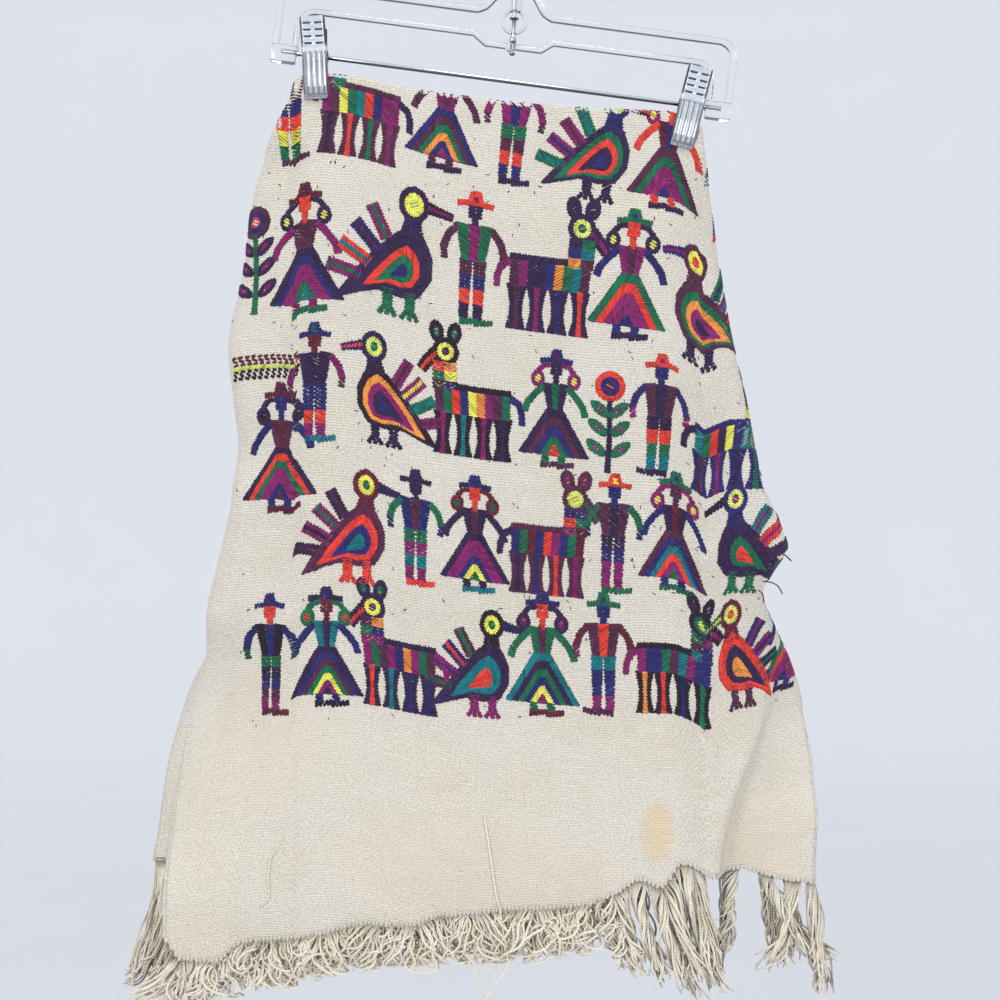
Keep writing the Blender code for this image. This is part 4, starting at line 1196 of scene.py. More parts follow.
# %% [markdown]
# ## Fringe
# The warp yarns leave each hem in locks. On the left and in the middle they have crumpled
# into curly tufts, and on the right they hang as long twisted locks with frayed ends. A
# row of the table is one lock: where it leaves the hem, where it ends and how it curls.
# %% Fringe locks
# Hem x from and to, tip x, tip drop, width at the tip, yarns, curl, turns
FRONT_LOCKS = (
    (-266, -254, -287, 812, 16, 24, 0.3, 0.6), (-255, -242, -266, 819, 16, 26, 0.4, -0.5),
    (-243, -229, -247, 818, 17, 28, 0.55, 0.5), (-230, -212, -226, 812, 20, 28, 0.7, -0.4),
    (-212, -192, -203, 806, 18, 37, 0.95, 0.4), (-191, -171, -182, 804, 18, 40, 1.0, -0.3),
    (-171, -150, -161, 798, 19, 40, 1.0, 0.4), (-150, -130, -141, 793, 18, 40, 1.0, -0.4),
    (-129, -104, -114, 793, 11, 35, 0.85, 0.6), (-103, -78, -90, 790, 20, 42, 1.0, 0.3),
    (-78, -53, -66, 788, 20, 42, 1.0, -0.4), (-52, -38, -44, 785, 11, 25, 0.85, 0.6),
    (-36, -10, -22, 788, 15, 35, 0.95, -0.5), (-10, 12, 2, 785, 19, 40, 1.0, 0.4),
    (12, 33, 22, 782, 19, 40, 1.0, -0.3), (33, 54, 43, 778, 17, 40, 1.0, 0.4),
    (55, 70, 80, 792, 15, 24, 0.45, 1.3), (70, 81, 91, 793, 12, 20, 0.2, -0.8),
    (80, 93, 106, 800, 12, 24, 0.1, 1.1), (94, 107, 126, 804, 13, 26, 0.08, 1.2),
    (107, 120, 137, 808, 12, 26, 0.08, -0.8), (120, 131, 146, 802, 10, 22, 0.08, 0.7),
    (130, 141, 153, 806, 9, 20, 0.1, -0.6), (157, 170, 157, 788, 10, 20, 0.1, 1.6),
    (183, 193, 236, 799, 15, 26, 0.04, 1.7), (206, 217, 196, 797, 24, 28, 0.1, 0.7),
    (221, 229, 235, 814, 12, 24, 0.08, 0.6),
)
BACK_LOCKS = (
    (-280, -271, -291, 796, 15, 26, 0.25, 0.5), (-277, -266, -281, 806, 16, 26, 0.35, -0.6),
    (-277, -262, -297, 806, 12, 26, 0.25, 0.6), (-262, -247, -284, 811, 14, 26, 0.3, -0.5),
    (-247, -231, -262, 806, 15, 26, 0.4, 0.5), (-231, -214, -240, 804, 15, 24, 0.5, 0.5),
    (-214, -194, -208, 796, 14, 24, 0.6, -0.5), (-194, -174, -186, 792, 14, 24, 0.6, 0.5),
    (-174, -154, -164, 788, 14, 24, 0.6, 0.4), (-154, -134, -144, 784, 14, 24, 0.6, -0.6),
    (-134, -114, -122, 782, 13, 24, 0.6, 0.5), (-112, -92, -102, 780, 13, 24, 0.6, -0.5),
    (-90, -70, -80, 780, 13, 24, 0.6, 0.5), (-68, -48, -58, 778, 13, 24, 0.6, 0.4),
    (-46, -26, -36, 776, 13, 24, 0.6, -0.5), (-24, -4, -14, 776, 13, 24, 0.6, 0.6),
    (-2, 18, 8, 775, 13, 24, 0.6, 0.5), (20, 40, 30, 772, 13, 24, 0.6, -0.5),
    (42, 60, 54, 776, 12, 24, 0.4, 0.5), (62, 78, 78, 784, 11, 22, 0.2, -0.7),
    (80, 96, 104, 792, 11, 22, 0.1, 0.9), (98, 114, 124, 796, 11, 22, 0.1, -0.8),
    (116, 138, 140, 796, 11, 24, 0.1, 0.8), (156, 170, 160, 784, 9, 22, 0.1, 1.0),
    (184, 198, 200, 790, 10, 22, 0.1, -0.9), (204, 219, 212, 792, 12, 24, 0.1, 0.8),
)
DARKEST_PAINTED_SHADE = 0.85
YARN_RADII = (0.7, 0.95)
# Ranges that each yarn draws from: share of the way down for a curly and a straight one,
# spread of a stray and a gathered one, fold at the tip, loops, spins, ripples and bulge
CURLY_FALL, STRAIGHT_FALL = (0.66, 0.98), (0.8, 1.03)
STRAY_SPREAD, LOCK_SPREAD = (1.0, 1.7), (0.35, 1.0)
TIP_FOLD, LOOP_SIZE, SPINS, RIPPLES, BULGE = (0.5, 1.4), (1.6, 4.8), (0.8, 2.6), (1.0, 2.6), (3, 11)
FULL_TURN = 6.3
yarn_draw = random.Random(5)


def hem_line(layer):
    """Places along a hem, a little above its edge and inside the sheet."""
    u = np.linspace(0.5, CLOTH_WIDTH - 0.5, 400)
    length = hem_length(u, layer) - 2.0
    return cloth_middle(u, length if layer == "front" else -FOLD_LENGTH - length)


def yarn_path(root, lock, share, front):
    """Middle line of one yarn of a lock, and its painted shade with a random tone per yarn."""
    left, right, tip_x, tip_drop, spread, _, curl, turns = lock
    draw = yarn_draw.uniform
    t = np.linspace(0, 1, 26 if curl > 0.2 else 17)
    fold = draw(*TIP_FOLD) * curl if yarn_draw.random() < 0.7 else 0.0
    fall = (1 + fold) * t - fold * t ** 4
    fall *= draw(*(CURLY_FALL if curl > 0.3 else STRAIGHT_FALL)) / max(fall.max(), 1.0)
    stray = draw(*(STRAY_SPREAD if yarn_draw.random() < 0.2 else LOCK_SPREAD))
    waist = stray * (3.6 + curl * (right - left) * 0.34)
    widths = ((right - left) / 2, waist, waist + curl, stray * spread / 2)
    half = np.interp(t, (0, 0.3, 0.65, 1), widths)
    angle = yarn_draw.choice((-1, 1)) * math.acos(1 - 2 * share) + turns * 2 * math.pi * t
    middle = (left + right) / 2 + (tip_x - (left + right) / 2) * (0.6 * t + 0.4 * t * t)
    x = middle - half * np.cos(angle)
    y = half * np.sin(angle) * 0.7 * smooth(t / 0.25)
    # Painted shade on the far side of the lock.
    shade = 0.5 - 0.5 * np.sin(angle) * (-1 if front else 1) * smooth(t / 0.25)
    loop = curl * draw(*LOOP_SIZE) * smooth((t - 0.08) / 0.3)
    spin = draw(*SPINS) * yarn_draw.choice((-1, 1)) * 2 * math.pi * t + draw(0, FULL_TURN)
    sway = (0.6 + 2.2 * t * t) * (1 - 0.5 * curl) * smooth(t / 0.2)
    ripple = draw(*RIPPLES) * 2 * math.pi * t + draw(0, FULL_TURN)
    x = x + loop * np.cos(spin) + sway * np.sin(ripple)
    x = x + fold * draw(-4, 4) * smooth((t - 0.5) / 0.5)
    y = y - curl * draw(*BULGE) * np.sin(math.pi * np.minimum(t * 1.1, 1.0))
    y = y + loop * 0.6 * np.sin(spin * 0.8) + sway * np.cos(ripple * 0.8)
    z = root[2] + (-tip_drop - root[2]) * fall + loop * np.sin(spin) * (1 - 0.8 * fall)
    gather = smooth(t / 0.14)
    x = root[0] + (x - root[0]) * gather
    y = root[1] + (y + 0.6 if front else 0.6 - y) * gather
    # Painted shade where the yarn comes out from under the hem.
    shade_under_hem = 0.55 * (1 - smooth((root[2] - z - 1.0) / 7.0))
    shade = (0.8 - 0.74 * curl) * shade + draw(-0.14, 0.2 - 0.08 * curl) + shade_under_hem
    return np.stack([x, y, z], axis=-1), np.clip(shade, 0.0, DARKEST_PAINTED_SHADE)


def fringe(name, layer, locks):
    """All yarns of one hem as one mesh."""
    hem = hem_line(layer)
    front = layer == "front"
    paths, radii, painted_shades = [], [], []
    for lock in locks:
        for k in range(lock[5]):
            share = (k + 0.5) / lock[5]
            x = lock[0] + (lock[1] - lock[0]) * share
            root = [float(np.interp(x, hem[:, 0], hem[:, axis])) for axis in range(3)]
            root[1] += 0.9 if front else -0.9
            path, shade = yarn_path(root, lock, share, front)
            paths.append(path)
            painted_shades.append(shade)
            radii.append(yarn_draw.uniform(*YARN_RADII))
    return tubes(name, paths, radii, twist.material, painted_shades=painted_shades)


fringe_front = fringe("fringe_front_yarns", "front", FRONT_LOCKS)
fringe_back = fringe("fringe_back_yarns", "back", BACK_LOCKS)

# %% [markdown]
# ## Loose yarns
# One long warp yarn hangs down over the front and crosses another below the hem, and a
# short one lies near the left corner. One lock is bound with a yarn. Dark threads stand
# out at the right edge, and small dyed ends are scattered over the panel.
# %% Loose yarns
def on_cloth(points):
    """Places a yarn's middle line on the cloth: u, w, height."""
    table = np.array(points, float)
    return cloth_surface(table[:, 0], table[:, 1], table[:, 2])


def eased(points, count=24):
    """More points on a smooth line through these."""
    points = np.asarray(points, float)
    marks = np.concatenate([[0.0], np.cumsum(np.linalg.norm(np.diff(points, axis=0), axis=1))])
    curve = Curve(np.column_stack([marks, points]))
    return np.stack(curve.at(np.linspace(0, marks[-1], count)), axis=-1)


def binding(x, drop, radius, turns, lean):
    """A yarn wound around a lock."""
    t = np.linspace(0, 1, int(turns * 16))
    angle = turns * 2 * math.pi * t
    y = FLAT_Y - 5.5 + radius * 0.75 * np.sin(angle)
    return np.stack([x + radius * np.cos(angle), y, -drop - 5.0 * t - lean * np.cos(angle)], axis=-1)


over_front = on_cloth(((240, 540, 0.6), (243, 560, 0.9), (246, 580, 0.9), (249, 600, 1.1),
                       (252, 611, 1.4)))
hanging = ((-12, -22, -762), (-9, -21, -781), (-18, -19, -797), (-28, -18, -812))
crossing = ((-48, -17, -762), (-38, -19, -779), (-31, -17, -797), (-25, -15, -816))
lying = on_cloth(((88, 574, 0.5), (79, 590, 0.9), (77, 606, 0.8), (78, 616, 0.5), (70, 626, 0.4)))
stray = ((186, -6, -729), (170, -7, -740), (147, -8, -753))
loose = [eased(np.vstack([over_front, hanging]), 40), eased(crossing), eased(lying), eased(stray)]
loose.append(binding(69, 752, 10.5, 2.2, -2.0))
loose_cream = tubes("loose_warp_yarns", loose, (0.75, 0.7, 0.55, 0.35, 0.95), twist.material, 6)

thread = Paint("dark thread")
thread.look(Base_Color=(*linear(38, 40, 66), 1.0), Roughness=0.7)
loose_dark = [
    eased(((191, -4, -474), (200, -6, -476), (206, -7, -481)), 14),
    eased(((188, -6, -475), (196, -8, -472), (203, -9, -470)), 12),
    eased(((184.5, -5, -496.5), (190, -7, -497), (195.5, -8, -500), (199, -8, -506)), 16),
    eased(((181, -5, -503), (184, -7, -506), (185, -7, -513)), 12),
]
loose_threads = tubes("loose_dark_threads", loose_dark, (0.55, 0.5, 0.5, 0.5), thread.material, 6, 0.7)

SPECKS = 300
dyed_ends = Work("dyed_ends")
for _ in range(SPECKS):
    row = needle.choice(tuple(ROWS.values())[:5])
    _, u, w, size, *_ = needle.choice(row)
    u += needle.uniform(-34, 34) * size
    w -= needle.uniform(-8, 116) * size
    turn = needle.uniform(0, math.pi)
    reach = needle.uniform(0.35, 0.95)
    dx, dy = reach * math.cos(turn), reach * math.sin(turn)
    dyed_ends.ends.append(((u - dx, -w - dy), (u + dx, -w + dy)))
    dyed_ends.widths.append(needle.uniform(0.3, 0.55))
    dyed_ends.colours.append([*YARN[needle.choice("nkvgbpt")], 1.0])
dyed_specks = dyed_ends.make(wool.material, 0.5)

# %% [markdown]
# ## Hanger
# The frame is one clear moulding: two bars, a bracket at each end, and the ring and
# sleeve of the hook. Each is a swept or primitive shape, and Boolean unions make them
# one closed body, so light passes through it as through one piece of plastic.
# %% Hanger sizes and helpers
HANGER_TILT = 7.5
HANGER_X = -4.3
HANGER_DROP = 70.0
FRAME_CENTRE = -4.0
OUTER_HALF = 174.0
INNER_HALF = 159.0
OUTER_TOP = 5.5
INNER_TOP = -12.5
INNER_DIP = -19.4
HUMP_TOP = 26.0
CORNER = 13.0
OUTER_RADIUS = 2.9
INNER_RADIUS = 2.6
BAR_END = -48.0
BRACKET_LOW = -54.0
BRACKET_HIGH = -40.0
BRACKET_REACH = 157.5
BRACKET_THICKNESS = 7.0
ROD_B = -45.6
ROD_RADIUS = 1.65
ROD_HALF = 169.0
RING_RADIUS = 10.0
RING_WIDTH = 2.4
RING_THICKNESS = 3.4
SLEEVE_RADIUS = 4.4
HOOK_LEAN = 3.52
WIRE_RADIUS = 1.5
HOOK_RADIUS = 16.5
HOOK_CENTRE = 55.0
SHANK_TOP = 29.5
SHANK_BEND = 6.0
GAP = 0.3
BAR_SIDES = 32
LUG_HEIGHT = 5.0
BORE_LENGTH = 90.0
BRACKET_EDGE = 1.2
SMOOTH_BELOW = 40


def axes(x, drop, turn):
    """A place in the hanger's upright plane, turned about Y."""
    return Matrix.Translation(Vector((x, 0, -drop)) * MM) @ Matrix.Rotation(math.radians(turn), 4, "Y")


HANGER_AXES = axes(HANGER_X, HANGER_DROP, HANGER_TILT)
HOOK_AXES = axes(HANGER_X, HANGER_DROP, HOOK_LEAN)


def arc(centre, radius, start, end, steps):
    """Points on an arc, with angles in degrees."""
    angles = np.radians(np.linspace(start, end, steps + 1))
    return [(centre[0] + radius * math.cos(a), centre[1] + radius * math.sin(a)) for a in angles]


def add_line(data, points, closed=False):
    """Adds a line of straight steps to a curve, through points in millimetres."""
    line = data.splines.new("POLY")
    line.points.add(len(points) - 1)
    line.use_cyclic_u = closed
    for point, place in zip(line.points, points):
        point.co = (*(c * MM for c in place), 1.0)


def as_mesh(curve_piece, matrix):
    """Turns a curve into a welded mesh that stands where the matrix says."""
    curve_piece.matrix_world = matrix
    pick(curve_piece)
    bpy.ops.object.convert(target="MESH")
    settle(curve_piece)
    finish_with(curve_piece, "WELD", merge_threshold=0.00001)
    return curve_piece


def wire(name, points, radius, matrix, roundness=5):
    """A round bar through points of the hanger's plane, as a mesh."""
    data = bpy.data.curves.new(name, "CURVE")
    data.dimensions = "3D"
    data.bevel_depth = radius * MM
    data.bevel_resolution = roundness
    data.use_fill_caps = True
    add_line(data, [(a, 0.0, b) for a, b in points])
    return as_mesh(placed(name, data), matrix)


def rounded_box(name, size, place, matrix, edge):
    stretch = Matrix.Diagonal((*(Vector(size) * MM), 1.0))
    stand = matrix @ Matrix.Translation(Vector(place) * MM) @ stretch
    box = made_by(bpy.ops.mesh.primitive_cube_add, name, stand, size=1.0)
    finish_with(box, "BEVEL", width=edge * MM, segments=3)
    return box


def round_bar(name, radius, length, matrix):
    return made_by(bpy.ops.mesh.primitive_cylinder_add, name, matrix,
                   vertices=BAR_SIDES, radius=radius * MM, depth=length * MM)


def cut(piece, other, operation="DIFFERENCE"):
    """Cuts or unites with another piece, which is then removed."""
    finish_with(piece, "BOOLEAN", operation=operation, solver="EXACT", object=other)
    bpy.data.objects.remove(other)


def along_x(a, b):
    return Matrix.Translation(Vector((a, 0, b)) * MM) @ Matrix.Rotation(math.radians(90), 4, "Y")


def bar_path(half, top, low, middle):
    """A bar with two uprights, rounded corners and a shaped middle stretch."""
    left, right = FRAME_CENTRE - half, FRAME_CENTRE + half
    start = arc((left + CORNER, top - CORNER), CORNER, 180, 90, 12)
    end = arc((right - CORNER, top - CORNER), CORNER, 90, 0, 12)
    return [(left, low)] + start + middle + end + [(right, low)]


# %% Clear frame
hump = [(-29, OUTER_TOP), (-23, 8.5), (-18, 15.0), (-13, 21.5), (-7, HUMP_TOP)]
hump += [(-a, b) for a, b in reversed(hump)]
dip = [(-29, INNER_TOP), (-19, INNER_DIP), (23, INNER_DIP), (32, INNER_TOP)]
outer_path = bar_path(OUTER_HALF, OUTER_TOP, BAR_END, [tuple(p) for p in eased(hump, 22)])
inner_path = bar_path(INNER_HALF, INNER_TOP, BAR_END, dip)
clear_frame = wire("clear_frame", outer_path, OUTER_RADIUS, HANGER_AXES)
cut(clear_frame, wire("inner_bar", inner_path, INNER_RADIUS, HANGER_AXES), "UNION")
for side in (-1, 1):
    reach = OUTER_HALF + OUTER_RADIUS
    size = (reach - BRACKET_REACH, BRACKET_THICKNESS, BRACKET_HIGH - BRACKET_LOW)
    place = (FRAME_CENTRE + side * (BRACKET_REACH + reach) / 2, 0, (BRACKET_HIGH + BRACKET_LOW) / 2)
    cut(clear_frame, rounded_box("bracket", size, place, HANGER_AXES, BRACKET_EDGE), "UNION")
ring_stand = HANGER_AXES @ Matrix.Rotation(math.radians(90), 4, "X")
ring_stand = ring_stand @ Matrix.Diagonal((1, 1, RING_THICKNESS / RING_WIDTH, 1))
ring = made_by(bpy.ops.mesh.primitive_torus_add, "ring", ring_stand,
               major_radius=(RING_RADIUS - RING_WIDTH / 2) * MM, minor_radius=RING_WIDTH / 2 * MM,
               major_segments=40, minor_segments=12)
cut(clear_frame, ring, "UNION")
sleeve_low = RING_RADIUS - RING_WIDTH + 0.6
sleeve_top = HUMP_TOP + 1
sleeve_place = Matrix.Translation(Vector((0, 0, (sleeve_top + sleeve_low) / 2)) * MM)
sleeve = round_bar("sleeve", SLEEVE_RADIUS, sleeve_top - sleeve_low, HANGER_AXES @ sleeve_place)
cut(clear_frame, sleeve, "UNION")
lug_place = Matrix.Translation(Vector((0, 0, INNER_DIP)) * MM)
cut(clear_frame, round_bar("lug", SLEEVE_RADIUS, LUG_HEIGHT, HANGER_AXES @ lug_place), "UNION")
cut(clear_frame, round_bar("shank_bore", WIRE_RADIUS + GAP, BORE_LENGTH, HOOK_AXES))
ROD_AXES = HANGER_AXES @ along_x(FRAME_CENTRE, ROD_B)
cut(clear_frame, round_bar("rod_bore", ROD_RADIUS + GAP, 2 * (ROD_HALF + GAP), ROD_AXES))
smooth_under(clear_frame, SMOOTH_BELOW)
print("clear frame:", len(clear_frame.data.polygons), "faces")

plastic = Paint("clear moulded plastic")
scuff = plastic.noise(plastic.object_place(), 240.0, 4.0, 0.7)
# Painted shade: the clear plastic's colour turns grey where the bars face sideways to the front, for the
# dark edges that refraction gives.
painted_rim_shade = plastic.blend(plastic.mark("painted_rim_shade"), (0.96, 0.97, 0.98), (0.66, 0.69, 0.74))
plastic.look(Base_Color=painted_rim_shade, Transmission_Weight=0.94, IOR=1.47)
plastic.look(Roughness=scuff.above(0.5, 0.9) * 0.12 + 0.02)
set_marks(clear_frame, "painted_rim_shade", smooth((0.62 - np.abs(facing_of(clear_frame)[1])) / 0.5))
wear(clear_frame, plastic)

# %% [markdown]
# ## Rod and hook
# The rod is a plain steel bar whose ends sit in the brackets. The hook's shank turns in
# the ring, with a collar above and a swaged end below, and its wire is bent to a hook.
# %% Steel pieces
steel_rod = round_bar("steel_rod", ROD_RADIUS, 2 * ROD_HALF, ROD_AXES)
finish_with(steel_rod, "BEVEL", width=0.4 * MM, segments=2, limit_method="ANGLE")
smooth_under(steel_rod, SMOOTH_BELOW)

TURNED_SIDES = 28
# Turned profile, top to bottom: radius, height
SHANK_PROFILE = (
    (WIRE_RADIUS, 15.9), (WIRE_RADIUS, 3.6), (2.9, 3.45), (3.4, 3.1), (3.4, 2.1), (2.9, 1.75),
    (WIRE_RADIUS, 1.6), (WIRE_RADIUS, -10.8), (2.3, -11.4), (2.55, -12.0), (2.6, -15.2), (2.3, -15.9),
    (WIRE_RADIUS, -16.2), (WIRE_RADIUS, -22.6), (2.1, -22.8), (2.3, -23.4), (2.2, -24.8), (1.4, -25.5),
)


def turned(name, profile, matrix):
    """A solid turned from a profile of radius and height, closed at both ends."""
    line = bpy.data.meshes.new(name)
    points = [(0, profile[0][1]), *profile, (0, profile[-1][1])]
    links = [(k, k + 1) for k in range(len(points) - 1)]
    line.from_pydata([(r * MM, 0, h * MM) for r, h in points], links, [])
    piece = placed(name, line)
    finish_with(piece, "SCREW", steps=TURNED_SIDES, render_steps=TURNED_SIDES,
                use_merge_vertices=True, merge_threshold=1e-6)
    outward(piece)
    piece.matrix_world = matrix
    settle(piece)
    return piece


hook_bend = [(0, 14.0)] + arc((-SHANK_BEND, SHANK_TOP), SHANK_BEND, 0, 45, 8)
hook_bend += arc((0, HOOK_CENTRE), HOOK_RADIUS, 225, -42, 54)
steel_hook = turned("steel_hook", SHANK_PROFILE, HOOK_AXES)
cut(steel_hook, wire("hook_wire", hook_bend, WIRE_RADIUS * 0.98, HOOK_AXES, 6), "UNION")
smooth_under(steel_hook, SMOOTH_BELOW)

steel = Paint("bright steel")
rub = steel.noise(steel.object_place(), 320.0, 4.0, 0.7)
steel_tone = steel.blend(rub.above(0.55, 0.85) * 0.5, linear(226, 228, 232), linear(160, 160, 163))
# Painted shade: the steel's colour darkens on faces that look down.
steel.look(Base_Color=steel.blend(steel.mark("painted_underside_shade"), steel_tone, linear(92, 92, 97)))
steel.look(Metallic=1.0, Roughness=rub.above(0.4, 0.9) * 0.16 + 0.1)
for piece in (steel_rod, steel_hook):
    set_marks(piece, "painted_underside_shade", smooth((0.15 - facing_of(piece)[2]) / 0.5))
    wear(piece, steel)
print("rod and hook ready")

# %% [markdown]
# ## Clips
# Each clip has two pressed plates on the rod with a coil spring between them. A plate is
# a grid bent to the clip's side profile. Its points are pushed out in four flutes below
# the rod and in pairs of short slots above it, as the press does, and Solidify gives
# the sheet its thickness. The ears are flat outlines with a hole for the rod.
# %% Clips
CLIP_WIDTH = 18.5
BACK_CLIP_WIDTH = 15.7
CLIP_SHEET = 1.1
FLANGE_SHEET = 1.0
ROD_HEIGHT = 34.5
ROD_HOLE = 3.6
# Inner face of a clip's plate: d, h
CLIP_INNER = (
    (6.9, 0.0), (5.75, 1.8), (5.75, 4.2), (7.6, 9.0), (8.2, 20.0),
    (7.6, 34.5), (8.8, 42.0), (14.4, 60.0),
)
# Ear around the rod: d, h
CLIP_EAR = (
    (8.3, 29.6), (3.0, 29.4), (-2.6, 29.6), (-5.3, 32.4), (-5.3, 36.6),
    (-2.6, 39.5), (3.0, 39.8), (8.8, 41.5),
)
CLIPS = (("left", -155.6, -2.5), ("right", 130.4, 13.6))
GRIP_ROWS = (41.5, 46.2, 50.8, 55.4)
GRIP_DEPTH = 0.8
FLUTES = 4
FLUTE_DEPTH = 0.6
FULL_PRESS = 0.75
PLATE_TOP = 60.0
PLATE_CELLS = (54, 110)
EDGE_ROLL = 1.6
# Painted light level of the ears.
EAR_MARK = 0.35
CLIP_SMOOTH_BELOW = 35
# Coil spring: turns, radius, half its length, wire radius
COIL = (5.25, 2.75, 4.6, 0.6)
plated = Paint("plated pressed steel")
grain = plated.noise(plated.object_place(), 900.0, 3.0, 0.6)
cloudy = plated.noise(plated.object_place(), 90.0, 3.0)
bright = plated.blend(cloudy.above(0.4, 0.75) * 0.5, linear(228, 232, 238), linear(186, 196, 207))
# Painted light and shade: the mark lights the raised grips and the band by the rod and shades the slots
# and the lower plate, blending the plating towards dark grey.
painted_plate_light = plated.mark("painted_plate_light").above(0.05, 0.8)
plated.look(Base_Color=plated.blend(painted_plate_light, linear(78, 86, 98), bright))
plated.look(Metallic=1.0, Roughness=grain * 0.22 + 0.18)
plated.raised(grain, 0.00008)


def rod_drop(x):
    """Drop of the rod's axis at this x."""
    tilt = math.radians(HANGER_TILT)
    a = (x - HANGER_X - ROD_B * math.sin(tilt)) / math.cos(tilt)
    return HANGER_DROP + a * math.sin(tilt) - ROD_B * math.cos(tilt)


def pressed_relief(x, h, width):
    """How far the press pushes the plate out at a place on it."""
    inside = smooth((width / 2 - 1.0 - np.abs(x)) / 0.9)
    flutes = 0.5 - 0.5 * np.cos(2 * math.pi * (x / (width - 2.0) * FLUTES + 0.5))
    flutes = flutes * FLUTE_DEPTH * smooth((h - 3.6) / 2.0) * smooth((36.2 - h) / 2.5)
    slots = np.zeros_like(x)
    for row in GRIP_ROWS:
        for middle in (-width * 0.23, width * 0.23):
            across = smooth((width * 0.17 - np.abs(x - middle)) / 0.8 + 0.5)
            slots = np.maximum(slots, across * smooth((1.35 - np.abs(h - row)) / 0.8))
    grips = GRIP_DEPTH * smooth((h - 39.0) / 1.5) * (1 - slots)
    return inside * (flutes + grips) + 0.5 * smooth((2.2 - h) / 1.2)


def pressed_plate(name, width, facing, matrix):
    """One plate of a clip with its ears."""
    profile = np.array(CLIP_INNER, float)
    bends = Curve([(h, d) for d, h in profile])
    across, up = PLATE_CELLS
    plate = made_by(bpy.ops.mesh.primitive_grid_add, name, size=1.0,
                    x_subdivisions=across, y_subdivisions=up)
    x, h = np.meshgrid(np.linspace(-0.5, 0.5, across + 1) * width, np.linspace(0, PLATE_TOP, up + 1))
    x, h = x.ravel(), h.ravel()
    corner = np.maximum(h - PLATE_TOP + 2.5, 0.0)
    x = x * (1 - 0.06 * smooth(corner / 2.5))
    d = np.interp(h, profile[:, 1], profile[:, 0]) * 0.5 + bends.at(h)[0] * 0.5 + CLIP_SHEET / 2
    d = d + pressed_relief(x, h, width)
    d = d - EDGE_ROLL * smooth((np.abs(x) - width / 2 + 1.3) / 1.3)
    places = np.stack([x * facing, -facing * d, h], axis=-1) * MM
    plate.data.vertices.foreach_set("co", places.ravel())
    # Painted light: raised grips and the flat band by the rod are lit, the slots shaded, and the lower
    # plate darker than the upper.
    raised = np.minimum(pressed_relief(x, h, width) / FULL_PRESS, 1.0)
    upper = smooth((h - 33.5) / 4.0)
    level = upper * smooth((40.5 - h) / 1.5) + smooth((3.0 - h) / 1.5) * 0.5
    painted_shine = np.maximum(raised, level) * (0.36 + 0.56 * upper) + 0.27 * (1 - upper)
    set_marks(plate, "painted_plate_light", painted_shine)
    plate.data.update()
    finish_with(plate, "SOLIDIFY", thickness=CLIP_SHEET * 0.9 * MM, offset=0.0)
    plate.matrix_world = matrix
    settle(plate)
    pieces = [plate]
    for side in (-1, 1):
        data = bpy.data.curves.new(name + "_ear", "CURVE")
        data.dimensions = "2D"
        data.fill_mode = "BOTH"
        data.extrude = FLANGE_SHEET / 2 * MM
        for outline in (CLIP_EAR, arc((0, ROD_HEIGHT), ROD_HOLE, 0, 345, 23)):
            add_line(data, [(a, b, 0.0) for a, b in outline], closed=True)
        stand = Matrix(((0, 0, -facing, 0), (-facing, 0, 0, 0), (0, 1, 0, 0), (0, 0, 0, 1)))
        place = Matrix.Translation(Vector((side * (width - FLANGE_SHEET) / 2, 0, 0)) * MM)
        ear = as_mesh(placed(name + "_ear", data), matrix @ place @ stand)
        set_marks(ear, "painted_plate_light", np.full(len(ear.data.vertices), EAR_MARK))
        pieces.append(ear)
    whole = joined(name, pieces)
    outward(whole)
    smooth_under(whole, CLIP_SMOOTH_BELOW)
    wear(whole, plated)
    return whole


def coil_spring(name, matrix):
    """Five turns of wire around the rod, with two legs that push the plates apart."""
    turns, radius, half, thick = COIL
    t = np.linspace(0, 1, 90)
    angle = 2 * math.pi * turns * t
    coil = np.stack([-half + 2 * half * t, radius * np.cos(angle), radius * np.sin(angle)], axis=-1)
    first = np.linspace(0, 1, 6)[:, None] * (0, 0, -15.0) + coil[0]
    last = np.linspace(0, 1, 6)[:, None] * (0, -2.0, 14.0) + coil[-1]
    line = np.vstack([first[:0:-1], coil, last[1:]])
    line = np.array([tuple((matrix @ Vector(p * MM)) / MM) for p in line])
    return tubes(name, [line], (thick,), steel.material, 8, 0.8)


clip_pieces = {}
for side, x, lean in CLIPS:
    drop = rod_drop(x)
    tip = Matrix.Rotation(math.radians(lean), 3, "Y") @ Vector((0, 0, -ROD_HEIGHT))
    stand = axes(x + tip.x, drop - tip.z, lean)
    clip_pieces[f"clip_{side}_front"] = pressed_plate(f"{side}_front_plate", CLIP_WIDTH, 1, stand)
    clip_pieces[f"clip_{side}_back"] = pressed_plate(f"{side}_back_plate", BACK_CLIP_WIDTH, -1, stand)
    clip_pieces[f"clip_{side}_spring"] = coil_spring(f"{side}_coil", axes(x, drop, HANGER_TILT))
print("clips:", ", ".join(clip_pieces))

# %% [markdown]
# ## Room and light
# The floor lies well below the hanging cloth and turns up into a pale backdrop far behind.
# Three large soft lamps and a pale sky give the even light of the picture. A dark card above
# and behind gives the clear and plated pieces something dark to mirror.
# %% Floor, backdrop and lamps
FLOOR_DROP = 1400.0
BACKDROP_Y = 4600.0
SWEEP = 900.0
WIDE = 7000.0
FRONT_END = -2600.0
WALL_TOP = 3600.0


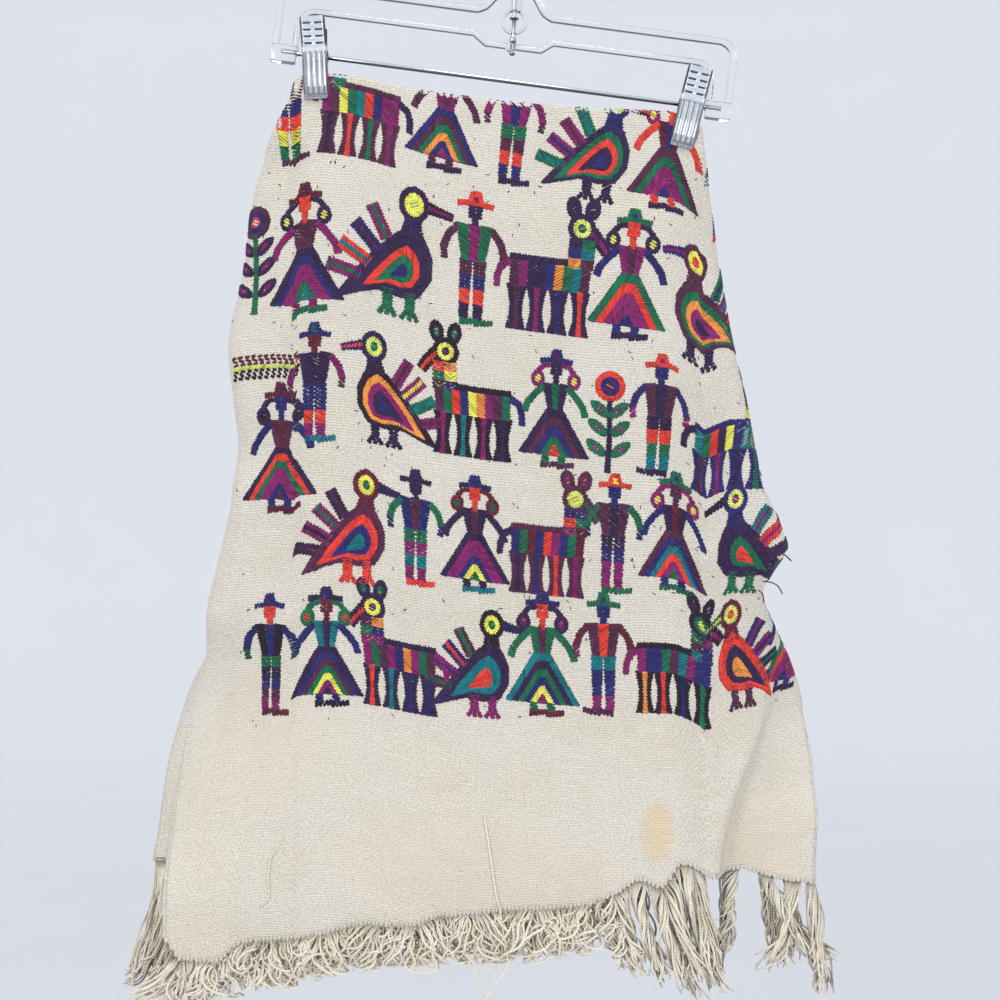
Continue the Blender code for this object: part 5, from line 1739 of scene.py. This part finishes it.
def room():
    """One sheet: the floor, a rounded turn and the wall."""
    turn = [(BACKDROP_Y - SWEEP + SWEEP * math.sin(a), -FLOOR_DROP + SWEEP - SWEEP * math.cos(a))
            for a in np.linspace(0, math.pi / 2, 20)]
    line = [(FRONT_END, -FLOOR_DROP), *turn, (BACKDROP_Y, WALL_TOP)]
    sheet = made_by(bpy.ops.mesh.primitive_grid_add, "floor_and_backdrop", size=1.0,
                    x_subdivisions=1, y_subdivisions=len(line) - 1)
    for k, vert in enumerate(sheet.data.vertices):
        y, z = line[k // 2]
        vert.co = Vector((WIDE * (k % 2 - 0.5) * 2, y, z)) * MM
    bpy.ops.object.shade_smooth()
    return sheet


backdrop = room()
paper = Paint("pale backdrop")
mottle = paper.noise(paper.object_place(), 3.0, 2.0)
paper.look(Base_Color=paper.blend(mottle, linear(234, 236, 241), linear(240, 241, 245)), Roughness=0.9)
# Painted light: the floor and the foot of the backdrop glow faintly, most at the bottom, lifting them
# where the lamps leave them dim.
paper.look(Emission_Color=paper.blend(paper.mark("low"), (0, 0, 0), (0.93, 0.96, 1.0)))
paper.look(Emission_Strength=0.07)
heights = np.array([vert.co.z for vert in backdrop.data.vertices])
set_marks(backdrop, "low", smooth((0.1 - heights) / 0.7))
backdrop.data.materials.append(paper.material)


def soft_lamp(name, place, aim, size, power, colour):
    lamp = bpy.data.lights.new(name, "AREA")
    lamp.shape = "DISK"
    lamp.size = size
    lamp.energy = power
    lamp.color = colour
    holder = placed(name, lamp)
    holder.location = place
    holder.rotation_euler = (Vector(aim) - Vector(place)).to_track_quat("-Z", "Y").to_euler()


# Lamps: name, place, where it aims, size in metres, power in watts, colour
LAMPS = (
    ("key_lamp", (-1.3, -1.9, 0.35), (0, 0, -0.5), 0.9, 13.0, (1.0, 0.985, 0.96)),
    ("fill_lamp", (1.6, -1.7, -0.2), (0, 0, -0.5), 1.4, 7.5, (0.95, 0.97, 1.0)),
    ("top_lamp", (0.1, -0.9, 1.5), (0, 0, -0.2), 0.7, 9.0, (1.0, 0.99, 0.98)),
)
for lamp_row in LAMPS:
    soft_lamp(*lamp_row)

card_stand = Matrix.Translation((0, 1.6, 1.5)) @ Matrix.Diagonal((4.0, 1.5, 1.0, 1.0))
dark_card = made_by(bpy.ops.mesh.primitive_plane_add, "card_above", card_stand, size=1.0)
dark_paper = Paint("dark card")
dark_paper.look(Base_Color=(0.03, 0.033, 0.04, 1.0), Roughness=0.9)
dark_card.data.materials.append(dark_paper.material)
sky = bpy.data.worlds.new("pale sky")
sky.use_nodes = True
sky_inputs = sky.node_tree.nodes["Background"].inputs
sky_inputs["Color"].default_value = (0.93, 0.96, 1.0, 1.0)
sky_inputs["Strength"].default_value = 0.86
bpy.context.scene.world = sky
bpy.context.scene.view_settings.view_transform = "Standard"
print("room and lamps ready")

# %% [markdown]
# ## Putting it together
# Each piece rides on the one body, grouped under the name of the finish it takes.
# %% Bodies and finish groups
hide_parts("cloth")
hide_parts("fringe_front")
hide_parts("fringe_back")
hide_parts("hanger_frame")
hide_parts("rod")
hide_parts("hook")
for node, piece in clip_pieces.items():
    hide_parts(node)
SPRINGS = [clip_pieces["clip_left_spring"], clip_pieces["clip_right_spring"]]
SLOTS = {"cotton_cloth": [cloth, edge_loops, dyed_specks, loose_threads] + embroidery,
         "fringe_yarn": [fringe_front, fringe_back, loose_cream],
         "clear_plastic": [clear_frame],
         "bright_steel": [steel_rod, steel_hook] + SPRINGS,
         "plated_steel": [piece for node, piece in clip_pieces.items() if not node.endswith("spring")]}
for slot_name, pieces in SLOTS.items():
    for piece in pieces:
        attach(piece, "root")
